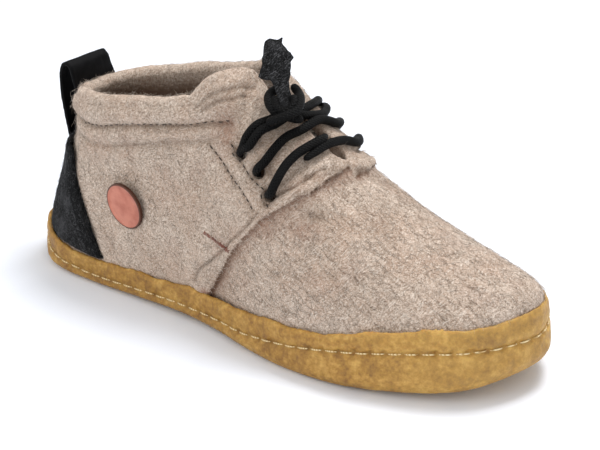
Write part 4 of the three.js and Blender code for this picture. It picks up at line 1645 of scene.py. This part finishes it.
@dataclass
class Sole:
    """The crepe cup sole and the thread through its rim."""

    last: Last
    voxel: float = 1.1
    pitch: float = 7.0
    dash: float = 5.7
    thread: float = 0.75

    def ring(self, inset: float, step: float) -> np.ndarray:
        """Draws an even line round the side of the sole, along its stitches.

        Args:
            inset: how far in from the edge, in mm.
            step: spacing in mm.

        Returns:
            The points.
        """
        u = np.arange(0, self.last.count, 0.02)
        share = self.last.column("channel", u)
        inset = inset + self.last.column("lean", u) * share**2
        z = self.last.lift(u) * (1 - share) + self.last.column("rim", u) * share
        points = self.last.edge(u, inset, z)
        return even(np.concatenate([points, points[:1]]), step, closed=True)

    def build(self, frame: dict, material: bpy.types.Material) -> bpy.types.Object:
        """Makes the cup, with its lumpy side, wavy rim and pulled-in stitch holes.

        Args:
            material: the crepe.

        Returns:
            The cup.
        """
        cup = soft_copy(frame, "outsole", "crepe_sole", self.voxel)
        smooth_by(cup, 5)
        points, normals = points_of(cup), normals_of(cup)
        u = np.arange(0, self.last.count, 0.04)
        index, inward = nearest([(p[0], p[1], 0) for p in points], self.last.edge(u, 0.0, 0.0))
        at = u[index]
        lift, rim = self.last.lift(at), self.last.column("rim", at)
        share = (points[:, 2] - lift) / (rim - lift)
        side = smoothstep(share, 0.04, 0.2) * (1 - smoothstep(inward, 5, 8))
        lumps = 0.35 * ripple(points, 11, 3) + 0.22 * ripple(points, 4.5, 5) + 0.12 * ripple(points, 2.2, 8)
        move = side * (lumps + 0.5 * bell(share - 0.26, 0.16))
        # Painted light: paler towards the toe and along the thin top of the rim.
        tone = 0.4 * smoothstep(points[:, 0], 40, 125) + 0.25 * smoothstep(share, 0.8, 1.0) - 0.1
        # Painted shade in the stitch groove and in the pulled-in stitch holes.
        chosen, apart = near(points, self.ring(1.9, 1.0), 4)
        tone[chosen] -= 0.14 * bell(apart, 1.3)
        chosen, apart = near(points, self.ring(1.6, self.pitch), 5)
        move[chosen] -= 0.9 * bell(apart, 1.7)
        tone[chosen] -= 0.24 * bell(apart, 1.3)
        points = points + normals * move[:, None]
        wave = smoothstep(share, 0.72, 0.98) * (1 - smoothstep(inward, 5, 8))
        points[:, 2] += wave * (0.8 * ripple(points, 17, 2) + 0.35 * ripple(points, 5, 7) - 0.2)
        points[:, 2] = np.maximum(points[:, 2], 0)
        set_points(cup, points)
        set_attribute(cup, "tone", np.clip(tone, -1, 1))
        dress(cup, material, "crepe", "outsole")
        return cup

    def sew(self, cup: bpy.types.Object, upper: Upper, material: bpy.types.Material) -> bpy.types.Object:
        """Lays the running stitch round the side.

        Args:
            cup: the sole.
            upper: what models a stitch.
            material: the thread.

        Returns:
            All stitches as one piece.
        """
        holes = self.ring(1.0, self.pitch)
        places = []
        for a, b in zip(holes, np.roll(holes, -1, axis=0)):
            _, point, normal, _ = cup.closest_point_on_mesh(Vector((a + b) / 2 * MM))
            out = np.array(normal)
            out[2] *= 0.3
            places.append(upright(np.array(point) / MM + 0.25 * out, b - a, out))
        piece = copies("sole_stitches", upper.stitch(self.dash, self.thread), places)
        dress(piece, material, "crepe")
        return piece


# The tongue, the footbed, the counter, the pull loop and the badge


@dataclass
class FeltParts:
    """The tongue, the footbed and the heel counter: felt cut from flat sheet."""

    # Heights of the counter's front edge, and its places there, in mm.
    edge_z: tuple[float, ...] = (13, 17, 29.5, 40, 50, 60.6)
    edge_x: tuple[float, ...] = (-75.6, -78.8, -84.5, -90.2, -95.8, -100.4)
    # Hollows in the footbed: where, how wide and how deep, in mm.
    hollows: tuple[tuple[float, float, float, float], ...] = (
        (-88, 0, 26, 0.8),
        (42, -4, 32, 0.7),
        (95, 10, 16, 0.4),
    )
    drawn_up: float = 2.6  # mm, how far the counter reaches up under the pull loop

    def tongue(self, frame: dict, material: bpy.types.Material) -> bpy.types.Object:
        """Makes the tongue behind the slit.

        Args:
            material: the felt.

        Returns:
            The tongue.
        """
        piece = soft_copy(frame, "tongue", "felt_tongue", 0.9)
        smooth_by(piece, 12)
        points = points_of(piece)
        set_points(piece, points + normals_of(piece) * (0.12 * ripple(points, 4, 3))[:, None])
        # Painted shade: the tongue lies behind the slit and is darkened all over.
        set_attribute(piece, "tone", np.full(len(points), -0.3))
        dress(piece, material, "felt", "tongue")
        return piece

    def footbed(self, frame: dict, material: bpy.types.Material) -> bpy.types.Object:
        """Makes the loose footbed, worn slightly hollow under the heel, the ball and the big toe.

        Args:
            material: the felt.

        Returns:
            The footbed.
        """
        piece = soft_copy(frame, "insole", "felt_footbed", 1.3)
        smooth_by(piece, 8)
        points, normals = points_of(piece), normals_of(piece)
        top = smoothstep(normals[:, 2], 0.3, 0.9)
        for x, y, reach, depth in self.hollows:
            apart = np.hypot(points[:, 0] - x, points[:, 1] - y)
            points[:, 2] -= top * depth * bell(apart, reach)
        points += normals * (0.1 * ripple(points, 3.5, 2))[:, None]
        set_points(piece, points)
        # Painted shade: the footbed, deep in the shoe, is darkened all over, in loose drifts.
        set_attribute(piece, "tone", -0.2 - 0.1 * ripple(points, 20, 1))
        dress(piece, material, "footbed", "insole")
        return piece

    def counter(self, frame: dict, material: bpy.types.Material) -> bpy.types.Object:
        """Makes the charcoal patch round the heel, pressed down along its cut edge.

        Args:
            material: the felt.

        Returns:
            The patch.
        """
        piece = soft_copy(frame, "heel_counter", "felt_heel_counter", 0.75)
        smooth_by(piece, 14)
        points, normals = points_of(piece), normals_of(piece)
        front = np.interp(points[:, 2], self.edge_z, self.edge_x)
        back = front - points[:, 0]
        away = normals[:, 0] * (points[:, 0] + 90) + normals[:, 1] * points[:, 1] > 0
        move = 0.25 * ripple(points, 9, 2) + 0.15 * ripple(points, 3, 5)
        move -= 0.6 * bell(back, 2.0)
        points += normals * np.where(away, move, 0)[:, None]
        top = points[:, 2].max()
        points[:, 2] += self.drawn_up * smoothstep(points[:, 2], top - 12, top)
        set_points(piece, points)
        # Painted shade: a dark band along the counter's front edge.
        set_attribute(piece, "tone", np.where(back < 9, -0.7, 0.25 * ripple(points, 8, 1)))
        dress(piece, material, "charcoal_felt", "heel_counter")
        return piece


@dataclass
class PullLoop:
    """The leather strap looped up at the back of the collar."""

    voxel: float = 0.7
    tail: float = 3.2  # mm, by which its sewn end is drawn down to the counter
    half: float = 9.5  # mm, half its width

    def build(self, frame: dict, material: bpy.types.Material) -> bpy.types.Object:
        """Makes the strap with softly rounded cut edges.

        Args:
            material: the leather.

        Returns:
            The strap.
        """
        piece = soft_copy(frame, "pull_loop", "leather_pull_loop", self.voxel)
        smooth_by(piece, 16)
        points, normals = points_of(piece), normals_of(piece)
        foot = points[:, 2].min()
        points[:, 2] -= self.tail * (1 - smoothstep(points[:, 2], foot, foot + 12))
        edge = bell(np.abs(points[:, 1]) - self.half, 0.8)
        set_points(piece, points + normals * (0.08 * ripple(points, 8, 2) - 0.14 * edge)[:, None])
        dress(piece, material, "leather", "pull_loop")
        return piece


@dataclass
class Badge:
    """The round copper badge, left bare."""

    last: Last
    across: float = 22.6
    thick: float = 1.6
    at: tuple[float, float] = (3.9, 0.45)  # section and level
    facing: tuple[float, float, float] = (-0.088, -0.99, -0.114)  # the top edge stands off the felt
    tarnish_and_shade: float = 0.75  # mm, width of the edge band, tarnished and with painted shade
    # Turning of the face from the rim inwards: each cut's width and rise in mm.
    cuts: tuple[tuple[float, float], ...] = ((0.9, 0.12), (0.5, -0.22), (2.2, 0.05), (4.0, 0.06), (3.4, 0.03))

    def build(self, material: bpy.types.Material) -> bpy.types.Object:
        """Models the disc: a turned rim, and a face that is very slightly domed.

        Args:
            material: the copper.

        Returns:
            The disc.
        """
        centre, _ = self.last.on_skin(*self.at, Side.OUTER, 0.8 + self.thick / 2)
        radius = self.across / 2
        select_none()
        bpy.ops.mesh.primitive_cylinder_add(vertices=72, radius=radius, depth=self.thick)
        piece = bpy.context.object
        piece.name = piece.data.name = "copper_badge"
        bpy.ops.object.mode_set(mode="EDIT")
        mesh = bmesh.from_edit_mesh(piece.data)
        for face in mesh.faces:
            face.select_set(face.normal.z > 0.9)
        bmesh.update_edit_mesh(piece.data)
        for inset, rise in self.cuts:
            bpy.ops.mesh.inset(thickness=inset, depth=rise)
        bpy.ops.object.mode_set(mode="OBJECT")
        apply_modifier(piece, "BEVEL", width=0.22, segments=3, limit_method="ANGLE")
        place = upright(centre, np.cross((0, 0, 1), self.facing), np.array(self.facing))
        out = np.array([math.hypot(v.co.x, v.co.y) for v in piece.data.vertices])
        # The edge band, side wall included, gets tarnish and painted shade.
        tone = np.where(out > radius - self.tarnish_and_shade, -1.0, 0.0)
        piece.data.transform(place)
        piece.data.transform(Matrix.Scale(MM, 4))
        set_attribute(piece, "tone", tone)
        dress(piece, material, "copper", "badge", smooth=40)
        return piece


# The lacing


Stop = tuple  # section past the throat, level, side, and its own height in mm where it has one


@dataclass(frozen=True)
class Strand:
    """A length of lace from a hole, over stops on the felt, to another hole or a free end under a strand."""

    hole: int
    side: Side
    stops: tuple[Stop, ...]
    to: int | None = None
    height: float = 0.0


OUT, IN = Side.OUTER, Side.INNER
TOP_STRANDS = (
    Strand(
        hole=0,
        side=OUT,
        stops=(
            (-0.45, 0.69, OUT),
            (-0.2, 0.715, OUT),
            (0.1, 0.78, OUT),
            (0.5, 0.88, OUT),
            (0.75, 0.95, OUT, 2.2),
            (0.62, 0.89, IN, 2.0),
            (0.19, 0.765, IN),
            (-0.31, 0.68, IN),
        ),
        to=0,
    ),
    Strand(
        hole=0,
        side=OUT,
        stops=(
            (-0.4, 0.65, OUT),
            (-0.1, 0.69, OUT),
            (0.25, 0.785, OUT),
            (0.62, 0.9, OUT),
            (0.92, 0.97, OUT, 2.0),
            (0.8, 0.87, IN, 1.8),
            (0.37, 0.755, IN),
            (-0.25, 0.655, IN),
        ),
        to=0,
    ),
    Strand(
        hole=1,
        side=OUT,
        stops=(
            (0.03, 0.615, OUT),
            (0.3, 0.7, OUT),
            (0.55, 0.78, OUT),
            (0.9, 0.88, OUT),
            (1.12, 0.97, IN),
            (1.0, 0.83, IN),
            (0.66, 0.735, IN),
            (0.2, 0.635, IN),
        ),
        to=1,
    ),
)
LOW_STRANDS = (
    Strand(
        hole=2,
        side=OUT,
        stops=(
            (0.42, 0.59, OUT),
            (0.65, 0.68, OUT),
            (0.9, 0.76, OUT),
            (1.15, 0.84, OUT),
            (1.36, 0.93, OUT),
            (1.42, 1, OUT, 0),
        ),
        height=1.0,
    ),
    Strand(
        hole=2,
        side=IN,
        stops=(
            (0.5, 0.585, IN),
            (0.8, 0.65, IN),
            (1.12, 0.725, IN),
            (1.48, 0.83, IN),
            (1.57, 0.95, IN),
            (1.45, 0.92, OUT),
            (1.24, 0.82, OUT),
            (1.1, 0.77, OUT),
        ),
    ),
)
# The knot's middle, and the axes of the tables below: to the right, up and towards the viewer.
KNOT_PLACE = (15.0, -11.6, 106.4)
KNOT_AXES = ((0.79, 0.61, 0.0), (-0.25, 0.33, 0.91), (0.56, -0.72, 0.42))
KNOT_TURN = ((-4.2, 1.5, 0.0), (-3.6, -3.2, 3.2), (0.2, -5.2, 5.2), (3.8, -2.6, 4.0), (3.6, 1.8, 0.5))
END_OUTER = (
    (7.6, -8.6, 1.5),
    (1.2, -7.2, 2.9),
    (-4.4, -4.8, 2.9),
    (-6.7, -0.8, 0.6),
    (-6.2, 3.2, -4.3),
    (-1.6, 6.2, -5.8),
)
END_INNER = (
    (-7.6, -9.6, 4.8),
    (-0.8, -7.8, 8.5),
    (5, -4.8, 6),
    (6.7, -0.2, 1),
    (6, 3.4, -4.2),
    (3.4, 7, -5.4),
)


@dataclass
class Lacing:
    """The lace over the facings, its knot and the felt tab that is held in it."""

    last: Last
    lace: float = 4.0
    step: float = 0.8
    clear: float = 0.6  # mm between the lace and the form, for the felt's nap
    pinch: float = 0.22  # how much thinner the lace is at a hole

    def at(self, stop: Stop, lift: float) -> np.ndarray:
        """A stop's point, in mm, lifted off the felt."""
        return self.last.on_skin(self.last.throat + stop[0], stop[1], stop[2], lift)[0]

    def hole(self, number: int, side: Side, ahead: Stop, over: float) -> list[np.ndarray]:
        """Leads the lace out of a hole.

        Args:
            number: which hole.
            side: the side of the foot.
            ahead: the stop that it makes for.
            over: the lace's height over the felt, in mm.

        Returns:
            Points from inside the felt outwards.
        """
        section, t = HOLES[number][0] - self.last.throat, HOLES[number][1]
        run, rise = ahead[0] - section, ahead[1] - t
        inside = (section - 0.08 * run, t - 0.08 * rise, side)
        outside = (section + 0.5 * run, t + 0.15 * rise, side)
        return [self.at(inside, -3.6), self.at((section, t, side), -0.4), self.at(outside, 0.6 * over)]

    def strand(self, strand: Strand, name: str) -> bpy.types.Object:
        """Lays one length of lace over the felt.

        Args:
            strand: its route.
            name: the piece's name.

        Returns:
            The piece.
        """
        over = self.lace / 2 + self.clear + strand.height
        route = self.hole(strand.hole, strand.side, strand.stops[0], over)
        route += [self.at(stop, stop[3] if len(stop) > 3 else over) for stop in strand.stops]
        if strand.to is not None:
            other = Side.INNER if strand.side is Side.OUTER else Side.OUTER
            route += self.hole(strand.to, other, strand.stops[-1], over)[::-1]
        return tube(name, smooth_route(route, self.step), self.lace / 2, self.pinch)

    def over_facings(self, material: bpy.types.Material) -> list[bpy.types.Object]:
        """Lays the laced strands.

        Args:
            material: the lace.

        Returns:
            The upper strands and the lower ones.
        """
        made = []
        for name, strands, node in (
            ("lace_upper_strands", TOP_STRANDS, "lace_top"),
            ("lace_lower_strands", LOW_STRANDS, "lace_low"),
        ):
            piece = joined(name, [self.strand(s, f"{name}_{k}") for k, s in enumerate(strands)])
            dress(piece, material, "lace", node)
            made.append(piece)
        return made

    def by_knot(self, stops: Sequence[Sequence[float]]) -> np.ndarray:
        """A smooth line through stops given about the knot."""
        axes, middle = np.array(KNOT_AXES), np.array(KNOT_PLACE)
        return smooth_route([middle + np.array(stop) @ axes for stop in stops], self.step)

    def tab(self, frame: dict, felt: bpy.types.Material) -> bpy.types.Object:
        """Makes the tab of torn felt.

        Args:
            felt: its finish.

        Returns:
            The tab.
        """
        tab = soft_copy(frame, "lace_tab", "felt_lace_tab", 0.5)
        smooth_by(tab, 6)
        points = points_of(tab)
        points += normals_of(tab) * (0.3 * ripple(points, 3.0, 2) + 0.2 * ripple(points, 1.4, 6))[:, None]
        set_points(tab, points)
        set_attribute(tab, "tone", 0.2 * ripple(points, 5, 3))
        dress(tab, felt, "charcoal_felt", "lace_tab")
        return tab

    def knot(
        self, frame: dict, lace: bpy.types.Material, felt: bpy.types.Material
    ) -> list[bpy.types.Object]:
        """Draws the two ends into one knot round the foot of the tab.

        Args:
            lace: the lace's finish.
            felt: the tab's finish.

        Returns:
            The tab, the two ends and the turn that holds them.
        """
        tab = self.tab(frame, felt)
        core = tube("lace_knot_turn", self.by_knot(KNOT_TURN), self.lace / 2)
        dress(core, lace, "lace")
        ends = []
        for name, stops, node, held in (
            ("lace_end_front", END_INNER, "lace_end_inner", [tab, core]),
            ("lace_end_back", END_OUTER, "lace_end_outer", []),
        ):
            line = self.by_knot(stops)
            piece = tube(name, line, self.lace / 2)
            dress(piece, lace, "lace", node)
            ends.append(piece)
        return [tab, *ends, core]


# The studio


@dataclass(frozen=True)
class Lamp:
    """A square light: place and size in metres, power in watts."""

    name: str
    place: tuple[float, float, float]
    size: float
    power: float
    colour: str = "#ffffff"


LAMPS = (
    Lamp("key", (0.12, 0.4, 1.15), 0.42, 9.8, "#fdfdff"),
    Lamp("fill", (-0.35, -1.1, 0.85), 1.0, 4.0),
    Lamp("front", (1.0, -0.6, 0.5), 0.7, 0.9),
)


@dataclass
class Studio:
    """Pale floor, soft light and the camera at the photograph's angle."""

    azimuth: float = 37.9
    elevation: float = 24.5
    roll: float = -1.1
    distance: float = 675.0
    focal_px: float = 1488.0
    axis_px: tuple[float, float] = (275.8, 217.5)
    frame_px: tuple[float, float] = (600.0, 450.0)
    aim: tuple[float, float, float] = (0.0, 0.0, 43.4)
    floor_colour: str = "#f4f8ff"
    sky: float = 0.72

    def camera(self) -> None:
        """Sets the camera up."""
        az, el, roll = (math.radians(v) for v in (self.azimuth, self.elevation, self.roll))
        back = Vector((math.sin(az) * math.cos(el), -math.cos(az) * math.cos(el), math.sin(el)))
        flat = Vector((math.cos(az), math.sin(az), 0))
        rise = back.cross(flat)
        right = math.cos(roll) * flat + math.sin(roll) * rise
        up = math.cos(roll) * rise - math.sin(roll) * flat
        place = (Vector(self.aim) + back * self.distance) * MM
        data = bpy.data.cameras.new("camera")
        data.sensor_width = 36.0
        data.lens = self.focal_px / self.frame_px[0] * data.sensor_width
        data.shift_x = (self.frame_px[0] / 2 - self.axis_px[0]) / self.frame_px[0]
        data.shift_y = (self.axis_px[1] - self.frame_px[1] / 2) / self.frame_px[0]
        data.clip_start, data.clip_end = 0.05, 20
        camera = bpy.data.objects.new("camera", data)
        rows = ((right[k], up[k], back[k], place[k]) for k in range(3))
        camera.matrix_world = Matrix((*rows, (0, 0, 0, 1)))
        bpy.context.scene.collection.objects.link(camera)
        bpy.context.scene.camera = camera

    def hang(self, lamp: Lamp) -> None:
        """Hangs one soft square light, turned to the shoe.

        Args:
            lamp: the light.
        """
        data = bpy.data.lights.new(lamp.name, "AREA")
        data.shape, data.size, data.energy = "SQUARE", lamp.size, lamp.power
        data.color = linear(lamp.colour)[:3]
        hung = bpy.data.objects.new(lamp.name, data)
        hung.location = lamp.place
        towards = Vector((0, 0, 0.04)) - Vector(lamp.place)
        hung.rotation_euler = towards.to_track_quat("-Z", "Y").to_euler()
        bpy.context.scene.collection.objects.link(hung)

    def floor(self) -> None:
        """Lays a plain pale floor."""
        select_none()
        bpy.ops.mesh.primitive_plane_add(size=12, location=(0, 0, -0.0002))
        floor = bpy.context.object
        floor.name = "floor"
        material, tree, shader = fresh("pale_floor")
        paint = {"Base Color": linear(self.floor_colour), "Roughness": 0.9, "Specular IOR Level": 0.1}
        set_sockets(tree, shader, paint)
        floor.data.materials.append(material)

    def build(self) -> None:
        """Builds the studio."""
        self.camera()
        self.floor()
        for lamp in LAMPS:
            self.hang(lamp)
        world = bpy.data.worlds.new("studio")
        world.use_nodes = True
        background = world.node_tree.nodes["Background"]
        background.inputs["Color"].default_value = linear("#ffffff")
        background.inputs["Strength"].default_value = self.sky
        bpy.context.scene.world = world
        bpy.context.scene.view_settings.view_transform = "Standard"
        bpy.context.scene.view_settings.look = "None"


def main(frame: dict) -> None:
    """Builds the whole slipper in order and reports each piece.
    """
    logging.basicConfig(level=logging.INFO, format="%(name)s: %(message)s")
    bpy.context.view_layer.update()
    Studio().build()
    last = Last()
    beige, charcoal, bed = BEIGE_FELT.make(), CHARCOAL_FELT.make(), INNER_FELT.make()
    crepe, lace = NaturalCrepe().make(), WaxedLace().make()
    cream = TwistedThread("cream_waxed_thread", "#ead6a6", "#b8955a").make()
    brown = TwistedThread("brown_sewing_thread", "#41342a", "#241b15", 0.6).make()
    russet = TwistedThread("russet_sewing_thread", "#8c5644", "#54312a", 0.6).make()
    wisp = TwistedThread("loose_wool_fibre", "#dfd3c6", "#c4b5a6", 2.0).make()
    dark_wisp = TwistedThread("loose_dark_wool_fibre", "#7d6e60", "#66584b", 2.0).make()
    smoke = TwistedThread("loose_grey_wool_fibre", "#79797b", "#545456", 2.0).make()

    lacing, upper, sole, parts = Lacing(last), Upper(last), Sole(last), FeltParts()
    made = [*lacing.knot(frame, lace, charcoal), *lacing.over_facings(lace)]
    shell = upper.build(frame)
    dress(shell, beige, "felt", "upper")
    made += [shell, upper.sew(brown, shell), upper.tack(russet, shell)]
    for hair, nap in ((wisp, PALE_NAP), (dark_wisp, DARK_NAP), (wisp, FUZZ)):
        made.append(upper.fibres(shell, hair, nap))
    cup = sole.build(frame, crepe)
    made += [cup, sole.sew(cup, upper, cream)]
    counter = parts.counter(frame, charcoal)
    made.append(upper.fibres(counter, smoke, COUNTER_NAP))
    made += [parts.tongue(frame, beige), parts.footbed(frame, bed), counter]
    made.append(PullLoop().build(frame, SmoothLeather().make()))
    made.append(Badge(last).build(BrushedCopper().make()))
    for piece in made:
        LOG.info("%s: %d faces", piece.name, len(piece.data.polygons))


if __name__ == "__main__":
    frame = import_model()
    main(frame)
